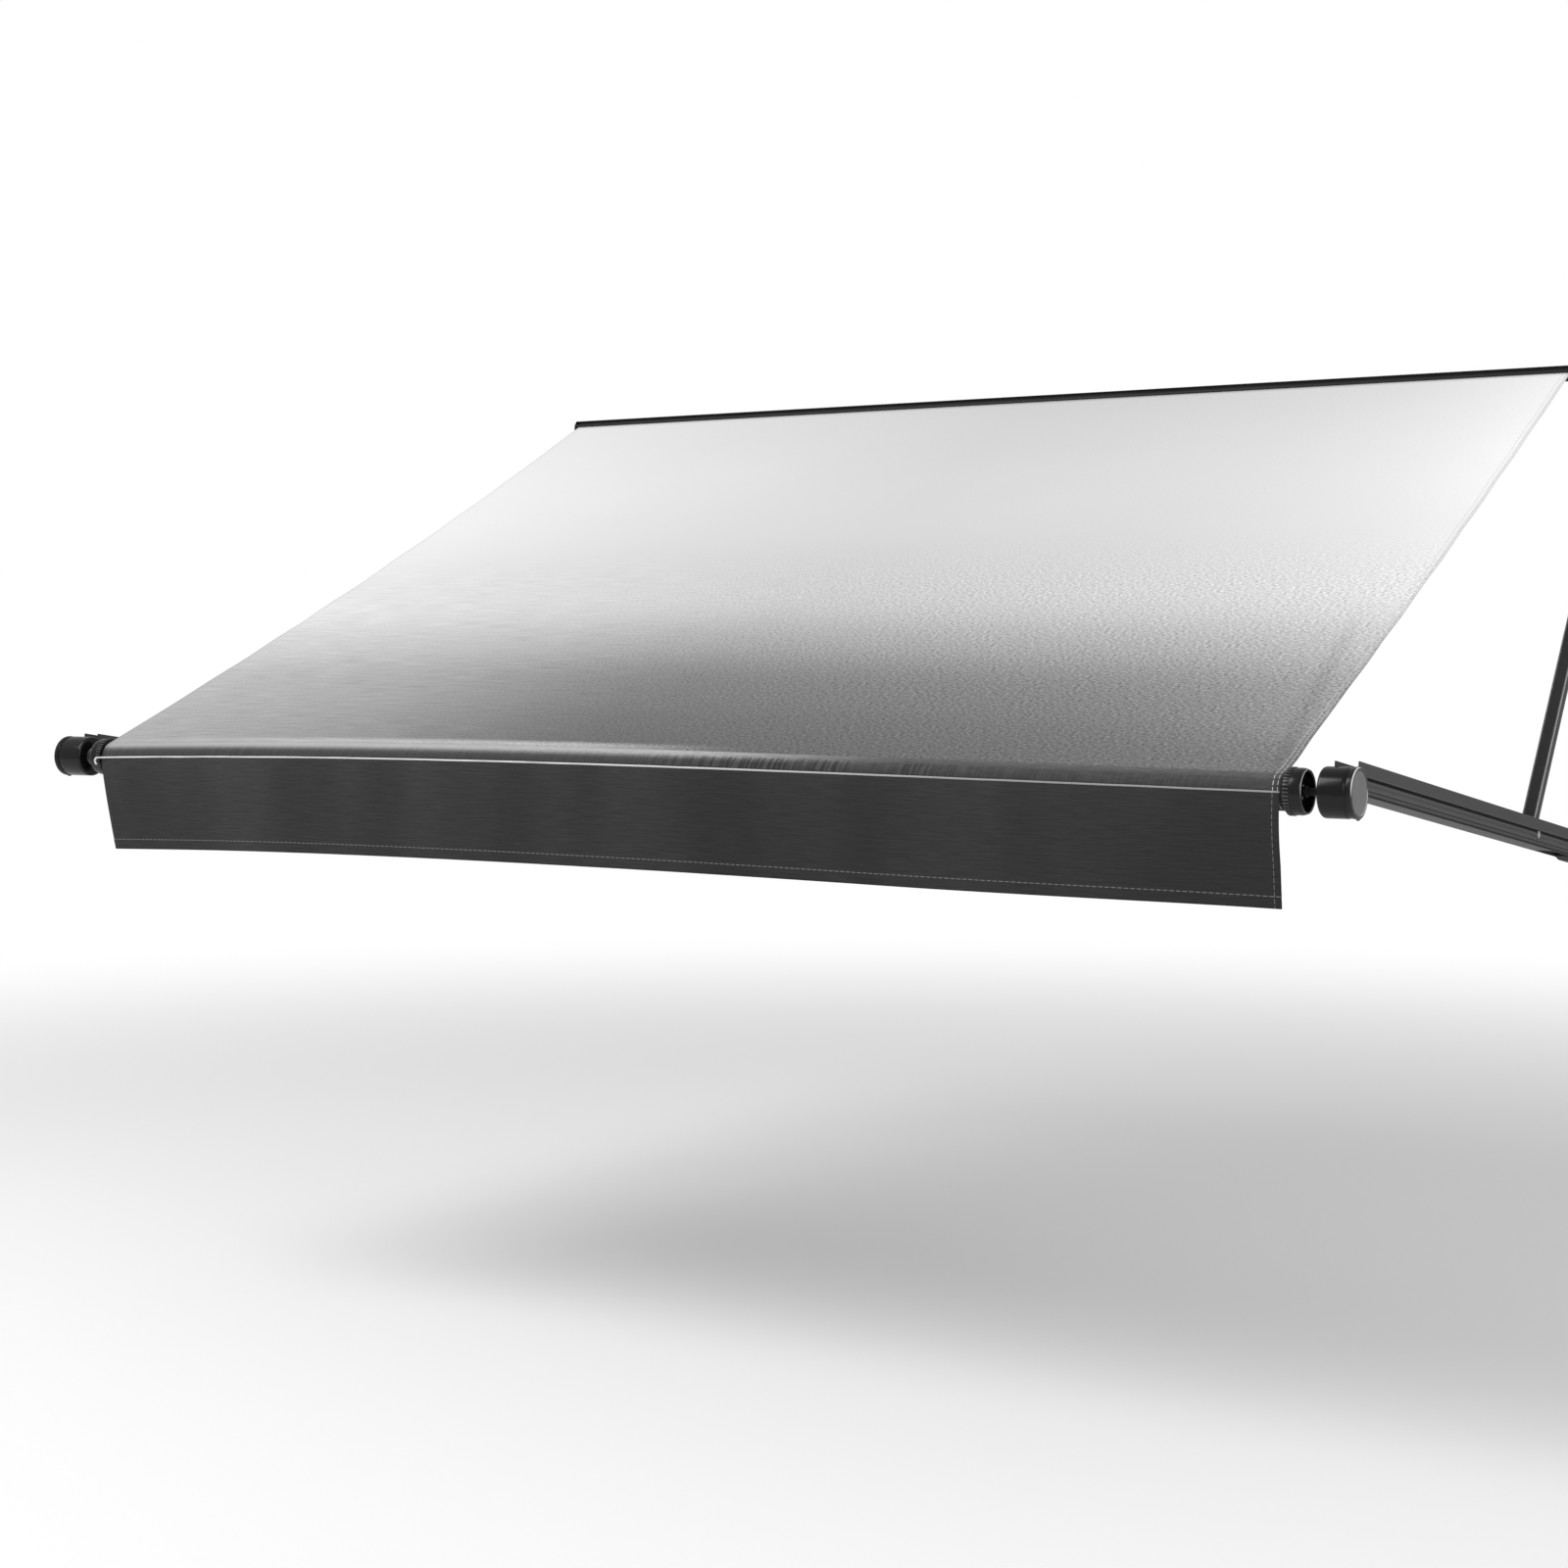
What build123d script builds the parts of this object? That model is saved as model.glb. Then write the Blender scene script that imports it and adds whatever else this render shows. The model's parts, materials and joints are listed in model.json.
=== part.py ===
from build123d import *
import math
import os

os.makedirs("parts", exist_ok=True)

# Roll out awning for the side of a caravan, shown rolled out.
# X runs along the wall, +Y points into the wall, +Z is up.
# The wall plane is Y = 0 and the origin lies on the rail's back face, half way along it.
# Distances called "out" are measured away from the wall, so Y is minus out.
# All sizes are millimetres, all angles degrees.

# Overall layout
canopy_width = 3410
arm_offset = 124
rail_overhang = 15
projection = 2212
roller_drop = 1067
exit_out = 22
exit_drop = 18
arm_slope = 8.2
strut_slope = 50.0
strut_bolt_out = 886

# Rail
rail_height = 44
rail_above = 5
rail_wall = 3
rail_tube_radius = 8
rail_bore_radius = 5.5
rail_slot = 3
rail_lip_out = 9
rail_nose_out = 20
rail_lip_wall = 2.5
rail_cap_wall = 3
rail_screw_count = 6
rail_screw_height = -31
rail_screw_radius = 2.5
rail_screw_head_radius = 5
rail_screw_head_height = 3
rail_screw_clearance = 0.15

# Cloth
cloth_thickness = 1.2
canopy_sag = 23
cloth_gap = 0.6
keder_radius = 4.2
keder_gap = 0.2
valance_inset = 5
valance_height = 248
valance_lean = 20
valance_hem = 24
piping_radius = 2.6

# Roller
tube_diameter = 78
tube_wall = 2
tube_slot_radius = 3.6
tube_slot_mouth = 2.4
tube_slot_wall = 1.6
tube_slot_angles = (80, 200, 320)
roll_diameter = 82
tube_overhang = 15
shaft_radius = 8
shaft_seat = 26
shaft_collar_radius = 12
shaft_collar_length = 3

# Roller end collars, measured outward from the canopy's side edge
collar_start = 4
collar_rim_end = 13
collar_step_end = 36
collar_end = 43
collar_rim_radius = 51
collar_radius = 49.5
collar_lip_radius = 46
collar_bore_radius = 39.1
collar_recess_radius = 42
collar_wall_start = 16
collar_wall_end = 20
collar_hub_radius = 15
collar_hub_end = 38
collar_teeth = 30
collar_tooth_gap = 4
collar_tooth_depth = 2.2
cap_screw_count = 3
cap_screw_circle = 28
cap_screw_radius = 2.5
cap_screw_head_radius = 5
cap_screw_head_height = 4
cap_screw_reach = 3

# Head drums on the arm ends, placed by the arm's middle
drum_inset = 46
left_drum_length = 91
right_drum_length = 70.2
drum_radius = 54
drum_wall = 4
drum_fillet = 3
drum_mouth_radius = 24
drum_groove_at = 9
drum_groove_width = 2
drum_groove_depth = 1.2
drum_slot_length = 14
drum_slot_width = 5
drum_slot_depth = 2
drum_slot_at = 52
cover_thickness = 4.5
cover_radius = 54.6
cover_spigot = 4
cover_recess_depth = 2.5
disc_radius = 45.5
disc_thickness = 3.5
disc_chamfer = 0.8
cover_tab_width = 8
cover_tab_height = 2
motor_radius = 30
motor_length = 58
gearbox_radius = 42
gearbox_length = 20
bearing_radius = 34
bearing_length = 26
shaft_clearance = 0.05

# Arms, in the arm's own frame: along the arm from the roller axis, and up from it
arm_width = 54
arm_bottom = -3
arm_top = 66
arm_wall = 3
left_arm_start = 36
right_arm_start = 6
arm_tail = 160
arm_drum_clearance = 0.8
arm_groove_heights = (5, 1.6, 1.6)
arm_groove_levels = (32.5, 19.5, 2.5)
arm_groove_depths = (1.4, 0.8, 0.8)
strut_pin_up = 26
link_pin_step = 300
link_pin_up = 26
arm_slot_before = 150
arm_slot_after = 40
arm_slot_width = 46
neck_length = 190
neck_top = 46
neck_play = 0.1
neck_bolt_count = 3
neck_bolt_pitch = 44
neck_bolt_first = 84
neck_bolt_up = 16
neck_bolt_radius = 4
bolt_head_height = 4
foot_gap = 4
foot_height = 7
foot_width = 46
foot_tip = 40
end_cap_thickness = 5

# Struts, links and their pins
strut_width = 34
strut_depth = 30
strut_wall = 2.5
strut_overrun = 15
link_thickness = 4
link_half_width = 11
link_inner = 18
upper_pin_radius = 6
strut_pin_radius = 5
lower_pin_radius = 6
link_pin_radius = 6
pivot_clearance = 0.05
pin_shoulder = 3
pin_head_height = 3
pin_half_length = 22.5
strut_side_gap = 0.5

# Wall channels and brackets
channel_width = 64
channel_depth = 16
channel_wall = 2.5
channel_top = 112
channel_bottom = 1370
bracket_width = 50
bracket_height = 120
bracket_base = 5
ear_width = 18
ear_root_height = 70
ear_tip_radius = 11
upper_pin_out = 60
lower_pin_out = 25
wall_hole_radius = 4.25
wall_hole_spacing = 36
wall_hole_rise = 96

# Folded position
folded_roller_out = 146

# Extra length that lets a cut run past the faces it opens
overrun = 2


def polar(angle, length):
    """Offset (out, up) of a length at an angle above the outward direction."""
    return (length * math.cos(math.radians(angle)), length * math.sin(math.radians(angle)))


def yz(point):
    """Row (Y, Z) of a point given as (out, up)."""
    return (-point[0], point[1])


# Linkage in the side view, all points as (out, up)
roll_radius = roll_diameter / 2
exit_point = (exit_out, -exit_drop)
roller_axis = (exit_out + projection - roll_radius, -exit_drop - roller_drop)
arm_dir = polar(180 + arm_slope, 1)
arm_up = (arm_dir[1], -arm_dir[0])


def on_arm(along, up):
    """Side view point at a distance along the arm and above its line."""
    return (
        roller_axis[0] + arm_dir[0] * along + arm_up[0] * up,
        roller_axis[1] + arm_dir[1] * along + arm_up[1] * up,
    )


strut_pin_along = (roller_axis[0] + arm_up[0] * strut_pin_up - strut_bolt_out) / -arm_dir[0]
link_pin_along = strut_pin_along + link_pin_step
arm_length = link_pin_along + arm_tail
foot_start = link_pin_along + arm_slot_after + foot_gap
strut_pin = on_arm(strut_pin_along, strut_pin_up)
link_pin = on_arm(link_pin_along, link_pin_up)
strut_run = strut_pin[0] - upper_pin_out
upper_pin = (upper_pin_out, strut_pin[1] + strut_run * math.tan(math.radians(strut_slope)))
strut_length = strut_run / math.cos(math.radians(strut_slope))

# Folded, the arm stands upright before the wall and the strut hangs behind it
folded_strut_out = folded_roller_out - strut_pin_up
folded_strut_up = upper_pin[1] - math.sqrt(strut_length ** 2 - (folded_strut_out - upper_pin_out) ** 2)
folded_roller_up = folded_strut_up + strut_pin_along
folded_link = (folded_roller_out - link_pin_up, folded_roller_up - link_pin_along)

# The wall pivot of the link is as far from the link pin open as folded
open_square = (link_pin[0] - lower_pin_out) ** 2
folded_square = (folded_link[0] - lower_pin_out) ** 2
rise_term = open_square - folded_square + link_pin[1] ** 2 - folded_link[1] ** 2
lower_pin = (lower_pin_out, rise_term / (2 * (link_pin[1] - folded_link[1])))

edge_x = canopy_width / 2
arm_x = edge_x + arm_offset
rail_length = canopy_width + 2 * rail_overhang
rail_screw_pitch = rail_length / rail_screw_count
valance_width = canopy_width - 2 * valance_inset
drum_start = arm_offset - drum_inset
shaft_reach = drum_start + shaft_seat
roller_y, roller_z = yz(roller_axis)


def side_plane(x):
    """Plane seen from the side, with local x along Y and local y along Z."""
    return Plane.YZ.offset(x)


def arm_plane(x, along):
    """Plane across the arm: local x along minus X, local y up from the arm."""
    origin = on_arm(along, 0)
    return Plane(origin=(x, -origin[0], origin[1]), x_dir=(-1, 0, 0), z_dir=(0, -arm_dir[0], arm_dir[1]))


# Wall rail with a keyhole slot for the canopy's edge bead
canopy_angle = -math.degrees(math.atan2(roller_drop - roll_radius, projection))
bead_back = rail_tube_radius + rail_wall / 2
bead_shift = polar(canopy_angle, bead_back)
bead_point = (exit_point[0] - bead_shift[0], exit_point[1] - bead_shift[1])
rail_bottom = rail_above - rail_height
rail_slot_mid = polar(canopy_angle, rail_tube_radius)

with BuildPart() as awning_rail:
    with BuildSketch(Plane.YZ):
        with BuildLine():
            Polyline(
                yz((0, rail_bottom)),
                yz((rail_wall, rail_bottom)),
                yz((rail_wall, rail_above - rail_lip_wall)),
                yz((rail_lip_out, rail_above - rail_lip_wall)),
                yz((rail_lip_out, rail_above)),
                yz((0, rail_above)),
                close=True,
            )
        make_face()
        with Locations(yz(bead_point)):
            Circle(rail_tube_radius)
        with Locations(yz((bead_point[0] / 2, bead_point[1]))):
            Rectangle(bead_point[0], rail_tube_radius)
        with Locations(yz(bead_point)):
            Circle(rail_bore_radius, mode=Mode.SUBTRACT)
        with Locations(yz((bead_point[0] + rail_slot_mid[0], bead_point[1] + rail_slot_mid[1]))):
            Rectangle(rail_tube_radius, rail_slot, rotation=-canopy_angle, mode=Mode.SUBTRACT)
    extrude(amount=rail_length / 2, both=True)
    with BuildSketch(Plane.XZ):
        with Locations((0, rail_screw_height)):
            with GridLocations(rail_screw_pitch, 0, rail_screw_count, 1):
                Circle(rail_screw_radius + rail_screw_clearance)
    extrude(amount=rail_wall, mode=Mode.SUBTRACT)
awning_rail.part.label = "awning_rail"
export_step(awning_rail.part, "parts/awning_rail.step")

# Round headed screws through the rail, cut off flush with the wall plane
with BuildPart() as rail_screws:
    with BuildSketch(Plane.XZ) as shank:
        with Locations((0, rail_screw_height)):
            with GridLocations(rail_screw_pitch, 0, rail_screw_count, 1):
                Circle(rail_screw_radius)
    extrude(amount=rail_wall)
    with BuildSketch(Plane.XZ.offset(rail_wall)) as heads:
        with Locations((0, rail_screw_height)):
            with GridLocations(rail_screw_pitch, 0, rail_screw_count, 1):
                Circle(rail_screw_head_radius)
    extrude(amount=rail_screw_head_height, taper=rail_screw_head_radius)
rail_screws.part.label = "rail_screws"
export_step(rail_screws.part, "parts/rail_screws.step")

# Closing plates on both rail ends
with BuildPart() as rail_end_caps:
    for side in (-1, 1):
        with BuildSketch(side_plane(side * (rail_length + rail_cap_wall) / 2)):
            with BuildLine():
                Polyline(
                    yz((0, rail_bottom)),
                    yz((rail_nose_out, rail_bottom)),
                    yz((rail_nose_out, -exit_drop + rail_tube_radius)),
                    yz((rail_lip_out, rail_above)),
                    yz((0, rail_above)),
                    close=True,
                )
            make_face()
        extrude(amount=rail_cap_wall / 2, both=True)
rail_end_caps.part.label = "rail_end_caps"
export_step(rail_end_caps.part, "parts/rail_end_caps.step")

# Bead in the canopy's wall edge, inside the rail's round slot
with BuildPart() as canopy_bead:
    with BuildSketch(Plane.YZ):
        with Locations(yz(bead_point)):
            Circle(keder_radius)
    extrude(amount=canopy_width / 2, both=True)
canopy_bead.part.label = "canopy_bead"
export_step(canopy_bead.part, "parts/canopy_bead.step")

# Canopy cloth: a shallow arc from the bead to the top of the roll
sag_angle = math.degrees(4 * canopy_sag / math.hypot(projection, roller_drop))
touch = polar(canopy_angle + sag_angle + 90, roll_radius + cloth_gap)
canopy_end = (roller_axis[0] + touch[0], roller_axis[1] + touch[1])
start_shift = polar(canopy_angle, keder_radius + keder_gap)
canopy_start = (bead_point[0] + start_shift[0], bead_point[1] + start_shift[1])
sag_shift = polar(canopy_angle - 90, canopy_sag)
canopy_mid = (
    (canopy_start[0] + canopy_end[0]) / 2 + sag_shift[0],
    (canopy_start[1] + canopy_end[1]) / 2 + sag_shift[1],
)
cloth_shift = polar(canopy_angle + 90, cloth_thickness)
half_shift = polar(canopy_angle + 90, cloth_thickness / 2)


def moved(point, *shifts):
    """Point moved by each (out, up) shift."""
    return (point[0] + sum(s[0] for s in shifts), point[1] + sum(s[1] for s in shifts))


def turned_back(shift):
    """The opposite shift."""
    return (-shift[0], -shift[1])


low_start = moved(canopy_start, turned_back(half_shift))
high_start = moved(low_start, cloth_shift)
with BuildPart() as canopy:
    with BuildSketch(Plane.YZ):
        with BuildLine():
            under = ThreePointArc(yz(low_start), yz(canopy_mid), yz(canopy_end))
            over = ThreePointArc(
                yz(high_start), yz(moved(canopy_mid, cloth_shift)), yz(moved(canopy_end, cloth_shift))
            )
            Line(under @ 0, over @ 0)
            Line(under @ 1, over @ 1)
        make_face()
    extrude(amount=canopy_width / 2, both=True)
canopy.part.label = "canopy"
export_step(canopy.part, "parts/canopy.step")

# Roller tube with three round keyhole grooves for cloth edges
tube_radius = tube_diameter / 2
groove_depth = tube_radius - tube_slot_radius - tube_slot_wall
with BuildPart() as roller_tube:
    with BuildSketch(Plane.YZ):
        with Locations((roller_y, roller_z)):
            Circle(tube_radius)
            Circle(tube_radius - tube_wall, mode=Mode.SUBTRACT)
            for angle in tube_slot_angles:
                with PolarLocations(groove_depth, 1, start_angle=angle):
                    Circle(tube_slot_radius + tube_slot_wall)
            for angle in tube_slot_angles:
                with PolarLocations(groove_depth, 1, start_angle=angle):
                    Circle(tube_slot_radius, mode=Mode.SUBTRACT)
                with PolarLocations(groove_depth + tube_slot_radius, 1, start_angle=angle):
                    Rectangle(tube_slot_radius * 2, tube_slot_mouth, mode=Mode.SUBTRACT)
    extrude(amount=edge_x + tube_overhang, both=True)
roller_tube.part.label = "roller_tube"
export_step(roller_tube.part, "parts/roller_tube.step")

# Cloth already wound on the tube
with BuildPart() as cloth_roll:
    with BuildSketch(Plane.YZ):
        with Locations((roller_y, roller_z)):
            Circle(roll_radius)
            Circle(tube_radius, mode=Mode.SUBTRACT)
    extrude(amount=edge_x, both=True)
cloth_roll.part.label = "cloth_roll"
export_step(cloth_roll.part, "parts/cloth_roll.step")

# Light piping along the front of the roll, and the valance that hangs from it
piping_point = (roller_axis[0] + roll_radius + piping_radius, roller_axis[1])
with BuildPart() as valance_piping:
    with BuildSketch(Plane.YZ):
        with Locations(yz(piping_point)):
            Circle(piping_radius)
    extrude(amount=valance_width / 2, both=True)
valance_piping.part.label = "valance_piping"
export_step(valance_piping.part, "parts/valance_piping.step")

valance_top = (piping_point[0], piping_point[1] - piping_radius)
valance_end = (valance_top[0] - valance_lean, valance_top[1] - valance_height)
valance_mid = (valance_top[0] - valance_lean / 4, valance_top[1] - valance_height / 2)
hem_share = valance_hem / valance_height
hem_start = (valance_end[0] + 2 * valance_lean * hem_share, valance_end[1] + valance_hem)
with BuildPart() as valance:
    with BuildSketch(Plane.YZ):
        with BuildLine():
            front = Spline(yz(valance_top), yz(valance_mid), yz(valance_end))
            back = Spline(
                yz(moved(valance_top, (-cloth_thickness, 0))),
                yz(moved(valance_mid, (-cloth_thickness, 0))),
                yz(moved(valance_end, (-cloth_thickness, 0))),
            )
            Line(front @ 0, back @ 0)
            Line(front @ 1, back @ 1)
        make_face()
        with BuildLine():
            Polyline(
                yz(hem_start),
                yz(moved(hem_start, (-2 * cloth_thickness, 0))),
                yz(moved(valance_end, (-2 * cloth_thickness, 0))),
                yz(valance_end),
                close=True,
            )
        make_face()
    extrude(amount=valance_width / 2, both=True)
valance.part.label = "valance"
export_step(valance.part, "parts/valance.step")


def end_x(side, distance):
    """X at a distance outward from the canopy's edge on one side."""
    return side * (edge_x + distance)


def roller_plane(side, distance):
    """Plane across the roller axis that faces outward on one side."""
    return Plane(
        origin=(end_x(side, distance), roller_y, roller_z), x_dir=(0, side, 0), z_dir=(side, 0, 0)
    )


def revolve_plane(side):
    """Plane through the roller axis: local x outward from the canopy edge, local y up."""
    return Plane(origin=(end_x(side, 0), roller_y, roller_z), x_dir=(side, 0, 0), z_dir=(0, -side, 0))


def roller_line(side):
    """Roller axis as an axis of revolution."""
    return Axis((end_x(side, 0), roller_y, roller_z), (side, 0, 0))


for side, hand, drum_length, arm_start in (
    (-1, "left", left_drum_length, left_arm_start),
    (1, "right", right_drum_length, right_arm_start),
):
    hub_x = side * arm_x
    drum_end = drum_start + drum_length

    # Ribbed collar that closes the roller end, open on its outer side
    with BuildPart() as roller_collar:
        with BuildSketch(revolve_plane(side)):
            with BuildLine():
                Polyline(
                    (collar_start, collar_bore_radius),
                    (collar_start, collar_rim_radius),
                    (collar_rim_end, collar_rim_radius),
                    (collar_rim_end, collar_radius),
                    (collar_step_end, collar_radius),
                    (collar_end, collar_lip_radius),
                    (collar_end, collar_recess_radius),
                    (collar_wall_end, collar_recess_radius),
                    (collar_wall_end, collar_hub_radius),
                    (collar_hub_end, collar_hub_radius),
                    (collar_hub_end, shaft_radius),
                    (collar_wall_start, shaft_radius),
                    (collar_wall_start, collar_bore_radius),
                    close=True,
                )
            make_face()
        revolve(axis=roller_line(side))
        with BuildSketch(roller_plane(side, collar_start)):
            with PolarLocations(collar_rim_radius, collar_teeth):
                Rectangle(2 * collar_tooth_depth, collar_tooth_gap)
        extrude(amount=collar_rim_end - collar_start, mode=Mode.SUBTRACT)
        with BuildSketch(roller_plane(side, collar_wall_start)):
            with PolarLocations(cap_screw_circle, cap_screw_count):
                Circle(cap_screw_radius)
        extrude(amount=collar_wall_end - collar_wall_start, mode=Mode.SUBTRACT)
    roller_collar.part.label = f"{hand}_collar"
    export_step(roller_collar.part, f"parts/{hand}_collar.step")

    # Bright screws in the collar's recess
    with BuildPart() as collar_screws:
        with BuildSketch(roller_plane(side, collar_wall_start - cap_screw_reach)):
            with PolarLocations(cap_screw_circle, cap_screw_count):
                Circle(cap_screw_radius)
        extrude(amount=cap_screw_reach + collar_wall_end - collar_wall_start)
        with BuildSketch(roller_plane(side, collar_wall_end)):
            with PolarLocations(cap_screw_circle, cap_screw_count):
                RegularPolygon(cap_screw_head_radius, 6)
        extrude(amount=cap_screw_head_height)
    collar_screws.part.label = f"{hand}_collar_screws"
    export_step(collar_screws.part, f"parts/{hand}_collar_screws.step")

    # Shaft from the collar into the head drum
    with BuildPart() as roller_shaft:
        with BuildSketch(roller_plane(side, collar_wall_start)):
            Circle(shaft_radius)
        extrude(amount=shaft_reach - collar_wall_start)
        with BuildSketch(roller_plane(side, collar_hub_end)):
            Circle(shaft_collar_radius)
        extrude(amount=shaft_collar_length)
        chamfer(roller_shaft.edges().filter_by(GeomType.CIRCLE).sort_by(Axis.X)[-1 if side > 0 else 0], disc_chamfer)
    roller_shaft.part.label = f"{hand}_shaft"
    export_step(roller_shaft.part, f"parts/{hand}_shaft.step")

    # Round head drum, open toward the outside
    with BuildPart() as head_drum:
        with BuildSketch(revolve_plane(side)):
            with BuildLine():
                Polyline(
                    (drum_start, drum_mouth_radius),
                    (drum_start, drum_radius - drum_fillet),
                    (drum_start + drum_fillet, drum_radius),
                    (drum_start + drum_groove_at, drum_radius),
                    (drum_start + drum_groove_at, drum_radius - drum_groove_depth),
                    (drum_start + drum_groove_at + drum_groove_width, drum_radius - drum_groove_depth),
                    (drum_start + drum_groove_at + drum_groove_width, drum_radius),
                    (drum_end, drum_radius),
                    (drum_end, drum_radius - drum_wall),
                    (drum_start + drum_wall, drum_radius - drum_wall),
                    (drum_start + drum_wall, drum_mouth_radius),
                    close=True,
                )
            make_face()
        revolve(axis=roller_line(side))
        with BuildSketch(Plane.XY.offset(roller_z + drum_radius - drum_slot_depth)):
            with Locations((end_x(side, drum_start + drum_slot_at), roller_y)):
                SlotOverall(drum_slot_length, drum_slot_width, rotation=90)
        extrude(amount=drum_slot_depth + overrun, mode=Mode.SUBTRACT)
    head_drum.part.label = f"{hand}_head_drum"
    export_step(head_drum.part, f"parts/{hand}_head_drum.step")

    # Cover ring of the drum with a shallow seat for the disc
    with BuildPart() as head_cover:
        with BuildSketch(roller_plane(side, drum_end)):
            Circle(cover_radius)
            with Locations((0, -cover_radius)):
                Rectangle(cover_tab_width, 2 * cover_tab_height)
        extrude(amount=cover_thickness)
        with BuildSketch(roller_plane(side, drum_end - cover_spigot)):
            Circle(drum_radius - drum_wall)
        extrude(amount=cover_spigot)
        with BuildSketch(roller_plane(side, drum_end + cover_thickness - cover_recess_depth)):
            Circle(disc_radius)
        extrude(amount=cover_recess_depth + overrun, mode=Mode.SUBTRACT)
    head_cover.part.label = f"{hand}_head_cover"
    export_step(head_cover.part, f"parts/{hand}_head_cover.step")

    # Flat grey disc on the drum's outer end
    with BuildPart() as head_disc:
        with BuildSketch(roller_plane(side, drum_end + cover_thickness - cover_recess_depth)):
            Circle(disc_radius)
        extrude(amount=disc_thickness)
        chamfer(head_disc.faces().sort_by(Axis.X)[-1 if side > 0 else 0].edges(), disc_chamfer)
    head_disc.part.label = f"{hand}_head_disc"
    export_step(head_disc.part, f"parts/{hand}_head_disc.step")

    # Open topped arm channel, ending round the drum
    with BuildPart() as arm_channel:
        with BuildSketch(arm_plane(hub_x, 0)):
            with Locations((0, (arm_top + arm_bottom) / 2)):
                Rectangle(arm_width, arm_top - arm_bottom)
            with Locations((0, (arm_top + arm_bottom + arm_wall + overrun) / 2)):
                Rectangle(
                    arm_width - 2 * arm_wall,
                    arm_top - arm_bottom - arm_wall + overrun,
                    mode=Mode.SUBTRACT,
                )
            for level, tall, deep in zip(arm_groove_levels, arm_groove_heights, arm_groove_depths):
                with Locations((-arm_width / 2, level + tall / 2), (arm_width / 2, level + tall / 2)):
                    Rectangle(2 * deep, tall, mode=Mode.SUBTRACT)
        extrude(amount=arm_length)
        with BuildSketch(side_plane(hub_x)):
            with Locations((roller_y, roller_z)):
                Circle(drum_radius + arm_drum_clearance)
                with Locations((arm_start - drum_radius, 0)):
                    Rectangle(2 * drum_radius, 4 * drum_radius)
        extrude(amount=arm_width, both=True, mode=Mode.SUBTRACT)
        with BuildSketch(arm_plane(hub_x, link_pin_along - arm_slot_before)):
            with Locations((0, arm_bottom)):
                Rectangle(arm_slot_width, 2 * arm_wall + overrun)
        extrude(amount=arm_slot_before + arm_slot_after, mode=Mode.SUBTRACT)
        with BuildSketch(side_plane(hub_x)):
            with Locations(yz(strut_pin)):
                Circle(strut_pin_radius)
            for index in range(neck_bolt_count):
                with Locations(yz(on_arm(neck_bolt_first + index * neck_bolt_pitch, neck_bolt_up))):
                    Circle(neck_bolt_radius)
        extrude(amount=arm_width, both=True, mode=Mode.SUBTRACT)
    arm_channel.part.label = f"{hand}_arm"
    export_step(arm_channel.part, f"parts/{hand}_arm.step")

    # Neck inside the arm that carries the drum
    with BuildPart() as head_neck:
        with BuildSketch(side_plane(hub_x)):
            with BuildLine():
                Polyline(
                    yz(on_arm(0, arm_bottom + arm_wall)),
                    yz(on_arm(neck_length, arm_bottom + arm_wall)),
                    yz(on_arm(neck_length - neck_bolt_pitch, neck_top)),
                    yz(on_arm(0, neck_top)),
                    close=True,
                )
            make_face()
            with Locations((roller_y, roller_z)):
                Circle(drum_radius, mode=Mode.SUBTRACT)
            for index in range(neck_bolt_count):
                with Locations(yz(on_arm(neck_bolt_first + index * neck_bolt_pitch, neck_bolt_up))):
                    Circle(neck_bolt_radius, mode=Mode.SUBTRACT)
        extrude(amount=arm_width / 2 - arm_wall - neck_play, both=True)
    head_neck.part.label = f"{hand}_head_neck"
    export_step(head_neck.part, f"parts/{hand}_head_neck.step")

    # Bolts through the arm and the neck, with their heads on the inner side
    with BuildPart() as neck_bolts:
        for index in range(neck_bolt_count):
            bolt_point = yz(on_arm(neck_bolt_first + index * neck_bolt_pitch, neck_bolt_up))
            with BuildSketch(side_plane(hub_x)):
                with Locations(bolt_point):
                    Circle(neck_bolt_radius)
            extrude(amount=arm_width / 2, both=True)
            with BuildSketch(side_plane(hub_x - side * (arm_width + bolt_head_height) / 2)):
                with Locations(bolt_point):
                    RegularPolygon(2 * neck_bolt_radius, 6)
            extrude(amount=bolt_head_height / 2, both=True)
    neck_bolts.part.label = f"{hand}_neck_bolts"
    export_step(neck_bolts.part, f"parts/{hand}_neck_bolts.step")

    # Bolt that carries the strut inside the arm, with shoulders beside the strut
    with BuildPart() as strut_bolt:
        with BuildSketch(side_plane(hub_x)):
            with Locations(yz(strut_pin)):
                Circle(strut_pin_radius)
        extrude(amount=arm_width / 2, both=True)
        shoulder_start = strut_width / 2 + strut_side_gap
        shoulder_end = arm_width / 2 - arm_wall
        for face in (-1, 1):
            with BuildSketch(side_plane(hub_x + face * (shoulder_start + shoulder_end) / 2)):
                with Locations(yz(strut_pin)):
                    Circle(strut_pin_radius + pin_shoulder)
            extrude(amount=(shoulder_end - shoulder_start) / 2, both=True)
            with BuildSketch(side_plane(hub_x + face * (arm_width + bolt_head_height) / 2)):
                with Locations(yz(strut_pin)):
                    RegularPolygon(2 * strut_pin_radius, 6)
            extrude(amount=bolt_head_height / 2, both=True)
    strut_bolt.part.label = f"{hand}_strut_bolt"
    export_step(strut_bolt.part, f"parts/{hand}_strut_bolt.step")

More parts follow.
